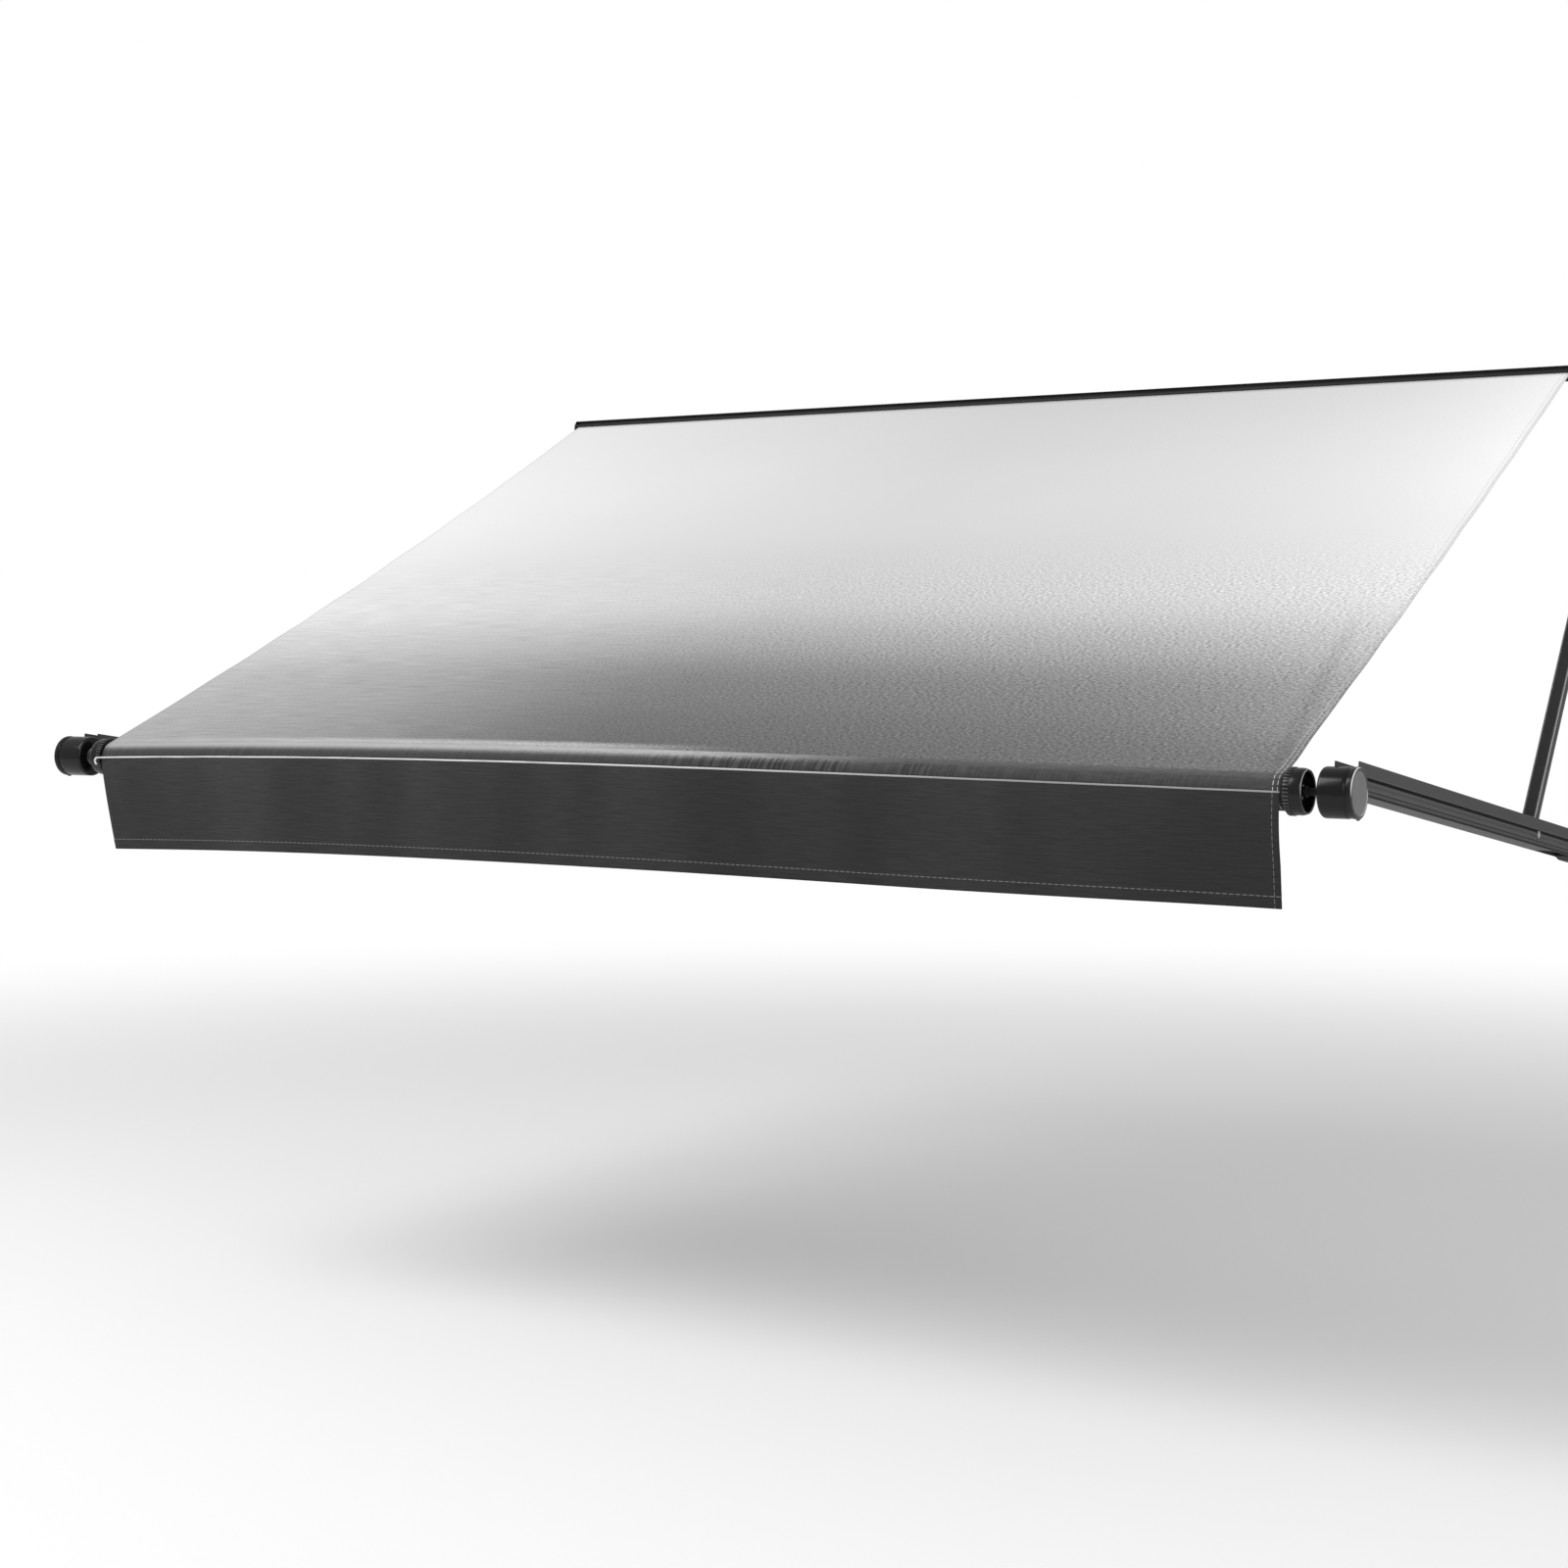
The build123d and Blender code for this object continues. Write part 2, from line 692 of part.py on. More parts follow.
    # Heads of the split link pivot, outside the arm's walls
    with BuildPart() as link_bolt_heads:
        for face in (-1, 1):
            with BuildSketch(side_plane(hub_x + face * (arm_width + bolt_head_height) / 2)):
                with Locations(yz(link_pin)):
                    RegularPolygon(2 * strut_pin_radius, 6)
            extrude(amount=bolt_head_height / 2, both=True)
    link_bolt_heads.part.label = f"{hand}_link_bolt_heads"
    export_step(link_bolt_heads.part, f"parts/{hand}_link_bolt_heads.step")

    # Black foot and cap at the wall end of the arm
    with BuildPart() as arm_foot:
        with BuildSketch(side_plane(hub_x)):
            with BuildLine():
                Polyline(
                    yz(on_arm(foot_start, arm_bottom)),
                    yz(on_arm(foot_start + foot_tip, arm_bottom - foot_height)),
                    yz(on_arm(arm_length + end_cap_thickness, arm_bottom - foot_height)),
                    yz(on_arm(arm_length + end_cap_thickness, arm_bottom)),
                    close=True,
                )
            make_face()
        extrude(amount=foot_width / 2, both=True)
        with BuildSketch(arm_plane(hub_x, arm_length)):
            with Locations((0, (arm_bottom + strut_pin_up) / 2)):
                Rectangle(arm_width, strut_pin_up - arm_bottom)
        extrude(amount=end_cap_thickness)
    arm_foot.part.label = f"{hand}_arm_foot"
    export_step(arm_foot.part, f"parts/{hand}_arm_foot.step")

    # Strut channel, open toward the wall when folded
    strut_dir = (0, -math.cos(math.radians(strut_slope)), -math.sin(math.radians(strut_slope)))
    strut_start = tuple(
        base - step * strut_overrun
        for base, step in zip((hub_x, *yz(upper_pin)), strut_dir)
    )
    with BuildPart() as strut:
        with BuildSketch(Plane(origin=strut_start, x_dir=(1, 0, 0), z_dir=strut_dir)):
            Rectangle(strut_width, strut_depth)
            with Locations((0, -(strut_wall + overrun) / 2)):
                Rectangle(
                    strut_width - 2 * strut_wall, strut_depth - strut_wall + overrun, mode=Mode.SUBTRACT
                )
        extrude(amount=strut_length + 2 * strut_overrun)
        with BuildSketch(side_plane(hub_x)):
            with Locations(yz(upper_pin)):
                Circle(upper_pin_radius + pivot_clearance)
            with Locations(yz(strut_pin)):
                Circle(strut_pin_radius + pivot_clearance)
        extrude(amount=strut_width, both=True, mode=Mode.SUBTRACT)
    strut.part.label = f"{hand}_strut"
    export_step(strut.part, f"parts/{hand}_strut.step")

    # Lower link: two flat bars side by side
    link_points = (yz(lower_pin), yz(link_pin))
    with BuildPart() as link_bars:
        for face in (-1, 1):
            with BuildSketch(side_plane(hub_x + face * (link_inner + link_thickness / 2))):
                for point in link_points:
                    with Locations(point):
                        Circle(link_half_width)
                make_hull()
                with Locations(link_points[0]):
                    Circle(lower_pin_radius + pivot_clearance, mode=Mode.SUBTRACT)
                with Locations(link_points[1]):
                    Circle(link_pin_radius, mode=Mode.SUBTRACT)
            extrude(amount=link_thickness / 2, both=True)
    link_bars.part.label = f"{hand}_link_bars"
    export_step(link_bars.part, f"parts/{hand}_link_bars.step")

    # Pin at the link's outer end, held by the bars between the arm's walls
    with BuildPart() as link_pin_piece:
        with BuildSketch(side_plane(hub_x)):
            with Locations(link_points[1]):
                Circle(link_pin_radius)
        extrude(amount=pin_half_length, both=True)
        with BuildSketch(side_plane(hub_x)):
            with Locations(link_points[1]):
                Circle(link_pin_radius + pin_shoulder)
        extrude(amount=link_inner, both=True)
    link_pin_piece.part.label = f"{hand}_link_pin"
    export_step(link_pin_piece.part, f"parts/{hand}_link_pin.step")

    # Channel on the wall behind the folded arm
    with BuildPart() as wall_channel:
        with BuildSketch(Plane.XY.offset(-channel_bottom)):
            with Locations((hub_x, -channel_depth / 2)):
                Rectangle(channel_width, channel_depth)
            with Locations((hub_x, -(channel_depth + channel_wall + overrun) / 2)):
                Rectangle(
                    channel_width - 2 * channel_wall,
                    channel_depth - channel_wall + overrun,
                    mode=Mode.SUBTRACT,
                )
        extrude(amount=channel_bottom - channel_top)
        for pin in (upper_pin, lower_pin):
            with BuildSketch(Plane.XZ):
                with Locations((hub_x, pin[1])):
                    with GridLocations(wall_hole_spacing, wall_hole_rise, 2, 2):
                        Circle(wall_hole_radius)
            extrude(amount=channel_wall, mode=Mode.SUBTRACT)
    wall_channel.part.label = f"{hand}_wall_channel"
    export_step(wall_channel.part, f"parts/{hand}_wall_channel.step")

    # Upper and lower brackets: a base plate with an ear for the pin
    for level, pin, hole_radius in (
        ("upper", upper_pin, upper_pin_radius),
        ("lower", lower_pin, lower_pin_radius),
    ):
        with BuildPart() as wall_bracket:
            with BuildSketch(Plane.XZ.offset(channel_wall)):
                with Locations((hub_x, pin[1])):
                    Rectangle(bracket_width, bracket_height)
                    with GridLocations(wall_hole_spacing, wall_hole_rise, 2, 2):
                        Circle(wall_hole_radius, mode=Mode.SUBTRACT)
            extrude(amount=bracket_base)
            with BuildSketch(side_plane(hub_x)):
                with Locations(yz((channel_wall + bracket_base / 2, pin[1]))):
                    Rectangle(bracket_base, ear_root_height)
                with Locations(yz(pin)):
                    Circle(ear_tip_radius)
                make_hull()
                with Locations(yz(pin)):
                    Circle(hole_radius, mode=Mode.SUBTRACT)
            extrude(amount=ear_width / 2, both=True)
        wall_bracket.part.label = f"{hand}_{level}_bracket"
        export_step(wall_bracket.part, f"parts/{hand}_{level}_bracket.step")

    # Upper pivot pin with a head on each side of the strut
    with BuildPart() as upper_pin_piece:
        with BuildSketch(side_plane(hub_x)):
            with Locations(yz(upper_pin)):
                Circle(upper_pin_radius)
        extrude(amount=strut_width / 2 + strut_side_gap, both=True)
        for face in (-1, 1):
            head_at = strut_width / 2 + strut_side_gap + pin_head_height / 2
            with BuildSketch(side_plane(hub_x + face * head_at)):
                with Locations(yz(upper_pin)):
                    Circle(upper_pin_radius + pin_shoulder)
            extrude(amount=pin_head_height / 2, both=True)
    upper_pin_piece.part.label = f"{hand}_upper_pin"
    export_step(upper_pin_piece.part, f"parts/{hand}_upper_pin.step")

    # Lower pivot pin with shoulders between the ear and the bars
    with BuildPart() as lower_pin_piece:
        with BuildSketch(side_plane(hub_x)):
            with Locations(yz(lower_pin)):
                Circle(lower_pin_radius)
        extrude(amount=pin_half_length, both=True)
        for face in (-1, 1):
            shoulder_end = link_inner - strut_side_gap
            with BuildSketch(side_plane(hub_x + face * (ear_width / 2 + shoulder_end) / 2)):
                with Locations(yz(lower_pin)):
                    Circle(lower_pin_radius + pin_shoulder)
            extrude(amount=(shoulder_end - ear_width / 2) / 2, both=True)
    lower_pin_piece.part.label = f"{hand}_lower_pin"
    export_step(lower_pin_piece.part, f"parts/{hand}_lower_pin.step")

# Drive motor with its gearbox in the left drum
with BuildPart() as drive_motor:
    with BuildSketch(roller_plane(-1, drum_start + drum_wall)):
        Circle(gearbox_radius)
    extrude(amount=gearbox_length)
    with BuildSketch(roller_plane(-1, drum_start + drum_wall)):
        Circle(motor_radius)
    extrude(amount=motor_length)
    with BuildSketch(roller_plane(-1, drum_start + drum_wall)):
        Circle(shaft_radius + shaft_clearance)
    extrude(amount=shaft_reach + overrun - drum_start - drum_wall, mode=Mode.SUBTRACT)
drive_motor.part.label = "drive_motor"
export_step(drive_motor.part, "parts/drive_motor.step")

# Plain bearing block in the right drum
with BuildPart() as idler_bearing:
    with BuildSketch(roller_plane(1, drum_start + drum_wall)):
        Circle(bearing_radius)
        Circle(shaft_radius + shaft_clearance, mode=Mode.SUBTRACT)
    extrude(amount=bearing_length)
idler_bearing.part.label = "idler_bearing"
export_step(idler_bearing.part, "parts/idler_bearing.step")
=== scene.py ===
"""Dressed model of a roll out awning for a caravan wall, in metres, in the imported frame.

X runs along the wall, Y into the wall and Z up. The origin lies on the rail's back face, half way along it.
"""

from __future__ import annotations

import json
import logging
import math
from dataclasses import dataclass, field
from enum import Enum
from typing import Callable

import bmesh
import bpy
from mathutils import Matrix, Vector, noise

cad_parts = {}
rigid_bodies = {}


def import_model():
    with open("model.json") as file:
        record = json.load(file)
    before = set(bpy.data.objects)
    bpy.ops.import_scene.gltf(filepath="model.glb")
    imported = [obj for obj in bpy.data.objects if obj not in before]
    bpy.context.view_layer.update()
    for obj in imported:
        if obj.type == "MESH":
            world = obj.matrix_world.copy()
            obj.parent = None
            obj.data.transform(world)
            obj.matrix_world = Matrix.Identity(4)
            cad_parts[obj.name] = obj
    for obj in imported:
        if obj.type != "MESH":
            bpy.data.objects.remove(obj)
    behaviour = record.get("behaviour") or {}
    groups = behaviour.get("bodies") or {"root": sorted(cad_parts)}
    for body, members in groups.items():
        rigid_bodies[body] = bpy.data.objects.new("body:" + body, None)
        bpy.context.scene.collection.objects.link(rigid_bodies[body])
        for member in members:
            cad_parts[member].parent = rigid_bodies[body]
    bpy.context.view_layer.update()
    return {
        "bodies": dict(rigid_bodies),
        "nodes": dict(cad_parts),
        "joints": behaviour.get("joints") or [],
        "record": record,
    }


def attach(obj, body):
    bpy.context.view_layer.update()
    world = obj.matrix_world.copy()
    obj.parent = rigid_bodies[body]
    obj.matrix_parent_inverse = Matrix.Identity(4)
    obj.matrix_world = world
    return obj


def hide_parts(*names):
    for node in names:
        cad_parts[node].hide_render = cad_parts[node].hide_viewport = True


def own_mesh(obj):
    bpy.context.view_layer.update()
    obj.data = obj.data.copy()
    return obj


LOG = logging.getLogger("awning")
Mesh = bmesh.types.BMesh
Socket = bpy.types.NodeSocket
Colour = tuple[float, float, float]
Point = tuple[float, float, float]
Pair = tuple[float, float]
Span = tuple[float, float, float, float]
Stops = tuple[Pair, ...]
Corners = tuple[Point, ...]

WHITE = (1.0, 1.0, 1.0)
MILLIMETRE = 0.001
MERGE_DISTANCE = 0.00001


class Side(Enum):
    """The two ends of the awning, seen from the front, with the sign of their X."""

    LEFT = -1
    RIGHT = 1


class Space(Enum):
    """Which coordinates a pattern follows."""

    SOLID = "Object"
    CLOTH = "UV"


def rgba(colour: object) -> object:
    """Adds an alpha of 1 to a plain colour, and leaves an output as it is."""
    return (*colour, 1.0) if isinstance(colour, tuple) and len(colour) == 3 else colour


def even(tone: float) -> Colour:
    """Gives a plain grey."""
    return (tone, tone, tone)


def lifted(colour: Colour, gain: float, lift: float = 0.0) -> Colour:
    """Gives a lighter or darker colour: the colour times a gain plus a lift."""
    return tuple(min(1.0, c * gain + lift) for c in colour)


class Graph:
    """Builds the shader nodes of one material."""

    def __init__(self, name: str) -> None:
        """Starts a material with a principled shader.

        Args:
            name: The material's name.
        """
        self.material = bpy.data.materials.new(name)
        self.material.use_nodes = True
        self.tree = self.material.node_tree
        self.shader = self.tree.nodes["Principled BSDF"]

    def node(self, kind: str, inputs: dict | None = None, **settings: object) -> bpy.types.Node:
        """Adds a node.

        Args:
            kind: The node's type name.
            inputs: Socket name or number to a value or to the output that feeds it.
            **settings: The node's own properties.

        Returns:
            The new node.
        """
        made = self.tree.nodes.new(kind)
        for key, value in settings.items():
            setattr(made, key, value)
        for key, value in (inputs or {}).items():
            self.feed(made.inputs[key], value)
        return made

    def feed(self, socket: Socket, value: object) -> None:
        """Sets a socket, or links it.

        Args:
            socket: The input socket.
            value: A value, or the output that feeds it.
        """
        if isinstance(value, Socket):
            self.tree.links.new(value, socket)
        else:
            socket.default_value = value

    def place(self, space: Space, scale: Point = (1.0, 1.0, 1.0)) -> Socket:
        """Gives the coordinates that a pattern follows, stretched along each axis."""
        coords = self.node("ShaderNodeTexCoord").outputs[space.value]
        return self.node("ShaderNodeMapping", {"Vector": coords, "Scale": scale}).outputs["Vector"]

    def noise(self, place: Socket, scale: float = 1.0, detail: float = 2.0) -> Socket:
        """Adds a noise of so many cells per metre and octaves of detail, and gives its factor."""
        made = self.node("ShaderNodeTexNoise", {"Vector": place, "Scale": scale, "Detail": detail})
        return made.outputs["Fac"]

    def maths(self, kind: str, a: object, b: object = 0.5, c: object = 0.5) -> Socket:
        """Adds a math node and gives its value."""
        return self.node("ShaderNodeMath", {0: a, 1: b, 2: c}, operation=kind).outputs[0]

    def times(self, a: object, b: object, plus: object | None = None) -> Socket:
        """Multiplies two values, and adds a third where there is one."""
        return self.maths("MULTIPLY", a, b) if plus is None else self.maths("MULTIPLY_ADD", a, b, plus)

    def less(self, a: object, b: object) -> Socket:
        """Subtracts the second value from the first."""
        return self.maths("SUBTRACT", a, b)

    def apart(self, a: object, b: object) -> Socket:
        """Gives how far two values lie apart."""
        return self.maths("ABSOLUTE", self.less(a, b))

    def vector(self, kind: str, a: object, b: object) -> Socket:
        """Adds a vector math node and gives its value."""
        return self.node("ShaderNodeVectorMath", {0: a, 1: b}, operation=kind).outputs["Value"]

    def parts(self, vector: Socket) -> bpy.types.NodeOutputs:
        """Splits a vector into X, Y and Z."""
        return self.node("ShaderNodeSeparateXYZ", {"Vector": vector}).outputs

    def spread(self, value: object, low: float, high: float, start: float = 0.0, end: float = 1.0) -> Socket:
        """Maps a range smoothly to another range.

        Args:
            value: The value or output to map.
            low: Start of its range.
            high: End of its range.
            start: Result at the start.
            end: Result at the end.

        Returns:
            The mapped value.
        """
        ends = {"Value": value, "From Min": low, "From Max": high, "To Min": start, "To Max": end}
        return self.node("ShaderNodeMapRange", ends, interpolation_type="SMOOTHSTEP").outputs["Result"]

    def mix(self, share: object, a: object, b: object, blend: str = "MIX") -> Socket:
        """Mixes two colours.

        Args:
            share: How much of b.
            a: The first colour or output.
            b: The second colour or output.
            blend: The way they mix.

        Returns:
            The colour output.
        """
        made = self.node("ShaderNodeMix", {"Factor": share, 6: rgba(a), 7: rgba(b)}, data_type="RGBA",
                         blend_type=blend)
        return made.outputs[2]

    def shade(self, colour: object, factor: object) -> Socket:
        """Multiplies a colour by a value."""
        return self.mix(1.0, colour, self.grey(factor), "MULTIPLY")

    def ramp(self, value: object, stops: Stops, kind: str = "EASE") -> Socket:
        """Adds a ramp of greys.

        Args:
            value: The value that runs along the ramp, 0 to 1.
            stops: Place and grey of each stop.
            kind: How the ramp runs from stop to stop.

        Returns:
            The colour output.
        """
        made = self.node("ShaderNodeValToRGB", {"Fac": value})
        made.color_ramp.interpolation = kind
        while len(made.color_ramp.elements) < len(stops):
            made.color_ramp.elements.new(0.5)
        for element, (place, tone) in zip(made.color_ramp.elements, stops):
            element.position = place
            element.color = rgba(even(tone))
        return made.outputs["Color"]

    def grey(self, value: object) -> Socket:
        """Turns a value into a grey."""
        return self.node("ShaderNodeCombineColor", {0: value, 1: value, 2: value}).outputs[0]

    def bump(self, height: object, distance: float, strength: float = 1.0, normal: object = None) -> Socket:
        """Adds a bump.

        Args:
            height: The height, 0 to 1.
            distance: Height of 1 in metres.
            strength: How much of it shows.
            normal: The normal that it adds to.

        Returns:
            The normal output.
        """
        made = self.node("ShaderNodeBump", {"Height": height, "Distance": distance, "Strength": strength})
        if normal is not None:
            self.feed(made.inputs["Normal"], normal)
        return made.outputs["Normal"]

    def rounded(self, radius: float, flat: float = 0.995, sharp: float = 0.86) -> tuple[Socket, Socket]:
        """Rounds the edges in the shading.

        Args:
            radius: The edge radius in metres.
            flat: Cosine of the bend at which the edge mask starts.
            sharp: Cosine of the bend at which it is full.

        Returns:
            The rounded normal, and a mask that is 1 along edges.
        """
        soft = self.node("ShaderNodeBevel", {"Radius": radius}, samples=6).outputs["Normal"]
        true = self.node("ShaderNodeNewGeometry").outputs["Normal"]
        return soft, self.spread(self.vector("DOT_PRODUCT", soft, true), flat, sharp)

    def finish(self, **sockets: object) -> bpy.types.Material:
        """Feeds the shader.

        Args:
            **sockets: Shader socket names, with _ for spaces, and their values or outputs.

        Returns:
            The finished material.
        """
        for key, value in sockets.items():
            value = rgba(value) if key == "Base_Color" else value
            self.feed(self.shader.inputs[key.replace("_", " ")], value)
        return self.material


class Weave(Graph):
    """Builds the shader nodes of a cloth, whose UV map gives u across and v along it in metres."""

    def __init__(self, name: str) -> None:
        """Starts the material and splits its UV map.

        Args:
            name: The material's name.
        """
        super().__init__(name)
        split = self.parts(self.node("ShaderNodeTexCoord").outputs["UV"])
        self.u, self.v = split["X"], split["Y"]


@dataclass(frozen=True)
class PowderCoat:
    """Satin powder coat on metal: a fine skin, faint clouds, dust and chipped, scuffed edges, and where
    asked a pale painted highlight line along every edge.
    """

    name: str
    colour: Colour
    rubbed_and_highlit: Colour = (0.30, 0.30, 0.31)
    roughness: float = 0.42
    edge: float = 0.0009
    wear: float = 0.45
    skin: float = 1500.0
    shine: float = 0.5
    painted_edge_highlight: float = 0.0
    cloud_size: float = 5.0
    cloud_range: Pair = (0.35, 0.68)
    cloud_lift: Pair = (1.22, 0.004)
    cloud_rough: float = 0.16
    chip_size: float = 160.0
    chip_range: Pair = (0.46, 0.62)
    skin_rough: float = 0.06
    skin_depth: float = 0.00008
    skin_strength: float = 0.8

    def coat(self, g: Graph, cloud: Socket) -> Socket:
        """Gives the coat's colour from its clouds."""
        return g.mix(g.spread(cloud, *self.cloud_range), self.colour, lifted(self.colour, *self.cloud_lift))

    def material(self) -> bpy.types.Material:
        """Builds the material.

        Returns:
            The material.
        """
        g = Graph(self.name)
        place = g.place(Space.SOLID)
        cloud = g.noise(place, self.cloud_size, 4.0)
        fine = g.noise(place, self.skin, 1.0)
        normal, edges = g.rounded(self.edge)
        chips = g.spread(g.noise(place, self.chip_size, 3.0), *self.chip_range)
        worn_and_highlit = g.times(g.times(edges, chips), self.wear)
        # Where the edge line is set, the edges turn pale all along: a painted highlight, on top of the
        # chips.
        worn_and_highlit = g.maths("MAXIMUM", worn_and_highlit, g.times(edges, self.painted_edge_highlight))
        rough = g.times(cloud, self.cloud_rough, self.roughness - self.cloud_rough / 2)
        return g.finish(
            Base_Color=g.mix(worn_and_highlit, self.coat(g, cloud), self.rubbed_and_highlit),
            Roughness=g.times(fine, self.skin_rough, rough),
            Metallic=0.0,
            Specular_IOR_Level=self.shine,
            Normal=g.bump(fine, self.skin_depth, self.skin_strength, normal),
        )


@dataclass(frozen=True)
class ChannelCoat(PowderCoat):
    """Powder coat of an extruded channel with painted light and shade on its side walls, in bands up the
    wall, and where asked a painted lighter underside.
    """

    # The bands are painted light and shade up the side walls; under is a painted light tone for faces that
    # look down.
    bands: Stops = ((0.0, 0.1),)
    up: Point = (0.0, 0.0, 1.0)
    low: float = 0.0
    high: float = 1.0
    under: float | None = None
    under_facing: Pair = (-0.7, -0.9)
    wall_facing: Pair = (0.5, 0.7)
    wall_cloud: Pair = (0.35, 0.83)

    def coat(self, g: Graph, cloud: Socket) -> Socket:
        """Gives the coat's colour, with the bands of painted light and shade on the side walls and the
        painted light on the underside.

        Args:
            g: The material's graph.
            cloud: The noise of its clouds.

        Returns:
            The colour.
        """
        plain = super().coat(g, cloud)
        height = g.vector("DOT_PRODUCT", g.place(Space.SOLID), self.up)
        share = g.maths("DIVIDE", g.less(height, self.low), self.high - self.low)
        walls = g.shade(g.ramp(share, self.bands, "CONSTANT"), g.times(cloud, *self.wall_cloud))
        normal = g.parts(g.node("ShaderNodeNewGeometry").outputs["True Normal"])
        if self.under is not None:
            plain = g.mix(g.spread(normal["Z"], *self.under_facing), plain, even(self.under))
        return g.mix(g.spread(g.maths("ABSOLUTE", normal["X"]), *self.wall_facing), plain, walls)


@dataclass(frozen=True)
class MouldedPlastic:
    """Moulded plastic with a fine spark grain and slightly polished edges, which are also painted paler: a
    painted highlight.

    Where the pale tone for lit faces is above 0, the faces that look towards the light's direction are mixed
    to it: painted light.
    """

    name: str
    colour: Colour
    roughness: float = 0.48
    edge: float = 0.0008
    grain: float = 2200.0
    edge_highlight: Colour = (0.05, 0.05, 0.052)
    edge_highlight_share: float = 0.5
    polish_rough: float = -0.14
    shine: float = 0.5
    painted_light_tone: float = 0.0
    light_from: Point = (0.30, -0.62, 0.72)
    light_facing: Pair = (0.50, 0.74)
    cloud_size: float = 9.0
    cloud_range: Pair = (0.3, 0.72)
    cloud_lift: Pair = (1.25, 0.002)
    grain_rough: float = 0.10
    grain_depth: float = 0.00006
    grain_strength: float = 0.7

    def material(self) -> bpy.types.Material:
        """Builds the material.

        Returns:
            The material.
        """
        g = Graph(self.name)
        place = g.place(Space.SOLID)
        cloud = g.spread(g.noise(place, self.cloud_size, 3.0), *self.cloud_range)
        grain = g.noise(place, self.grain)
        normal, edges = g.rounded(self.edge)
        body = g.mix(cloud, self.colour, lifted(self.colour, *self.cloud_lift))
        # The edges are mixed towards a paler colour: a painted highlight along them.
        body = g.mix(g.times(edges, self.edge_highlight_share), body, self.edge_highlight)
        # Faces turned towards the light are mixed to a pale tone: painted light.
        if self.painted_light_tone:
            facing = g.spread(g.vector("DOT_PRODUCT", normal, self.light_from), *self.light_facing)
            body = g.mix(facing, body, even(self.painted_light_tone))
        return g.finish(
            Base_Color=body,
            Roughness=g.times(grain, self.grain_rough, g.times(edges, self.polish_rough, self.roughness)),
            Specular_IOR_Level=self.shine,
            Normal=g.bump(grain, self.grain_depth, self.grain_strength, normal),
        )


@dataclass(frozen=True)
class BareMetal:
    """Plated or mill finish metal with drawn lines and stains."""

    name: str
    colour: Colour
    roughness: float = 0.32
    edge: float = 0.0004
    edge_share: float = 0.4
    edge_gain: float = 1.2
    lines: Point = (60.0, 2600.0, 2600.0)
    line_rough: float = 0.18
    line_depth: float = 0.00004
    line_strength: float = 0.6
    stain_size: float = 70.0
    stain_range: Pair = (0.42, 0.7)
    stain_gain: float = 0.68
    stain_rough: float = 0.1

    def material(self) -> bpy.types.Material:
        """Builds the material.

        Returns:
            The material.
        """
        g = Graph(self.name)
        drawn = g.noise(g.place(Space.SOLID, self.lines))
        stain = g.noise(g.place(Space.SOLID), self.stain_size, 3.0)
        normal, edges = g.rounded(self.edge)
        body = g.mix(g.spread(stain, *self.stain_range), self.colour, lifted(self.colour, self.stain_gain))
        rough = g.times(drawn, self.line_rough, self.roughness - self.line_rough / 2)
        return g.finish(
            Base_Color=g.mix(g.times(edges, self.edge_share), body, lifted(self.colour, self.edge_gain)),
            Metallic=1.0,
            Roughness=g.times(stain, self.stain_rough, rough),
            Normal=g.bump(drawn, self.line_depth, self.line_strength, normal),
        )


@dataclass(frozen=True)
class StitchRows:
    """Rows of stitches along one kind of edge, with the hem that they hold."""

    offsets: tuple[float, ...] = ()
    hem: float = 0.0
    dash: float = 0.0075
    gap: Pair = (0.22, 0.34)
    half_width: float = 0.0010
    hem_edge: float = 0.0012

    def thread(self, g: Graph, across: Socket, along: Socket) -> Socket | float:
        """Draws the rows.

        Args:
            g: The material's graph.
            across: Distance from the edge in metres.
            along: Distance along the row in metres.

        Returns:
            A mask that is 1 on the thread.
        """
        total: Socket | float = 0.0
        dash = g.spread(g.maths("PINGPONG", along, self.dash), *(self.dash * share for share in self.gap))
        for offset in self.offsets:
            line = g.spread(g.apart(across, offset), self.half_width, self.half_width / 2)
            total = g.maths("MAXIMUM", total, g.times(line, dash))
        return total

    def folded(self, g: Graph, across: Socket) -> Socket:
        """Gives a mask that is 1 on the hem."""
        return g.spread(across, self.hem, self.hem - self.hem_edge)


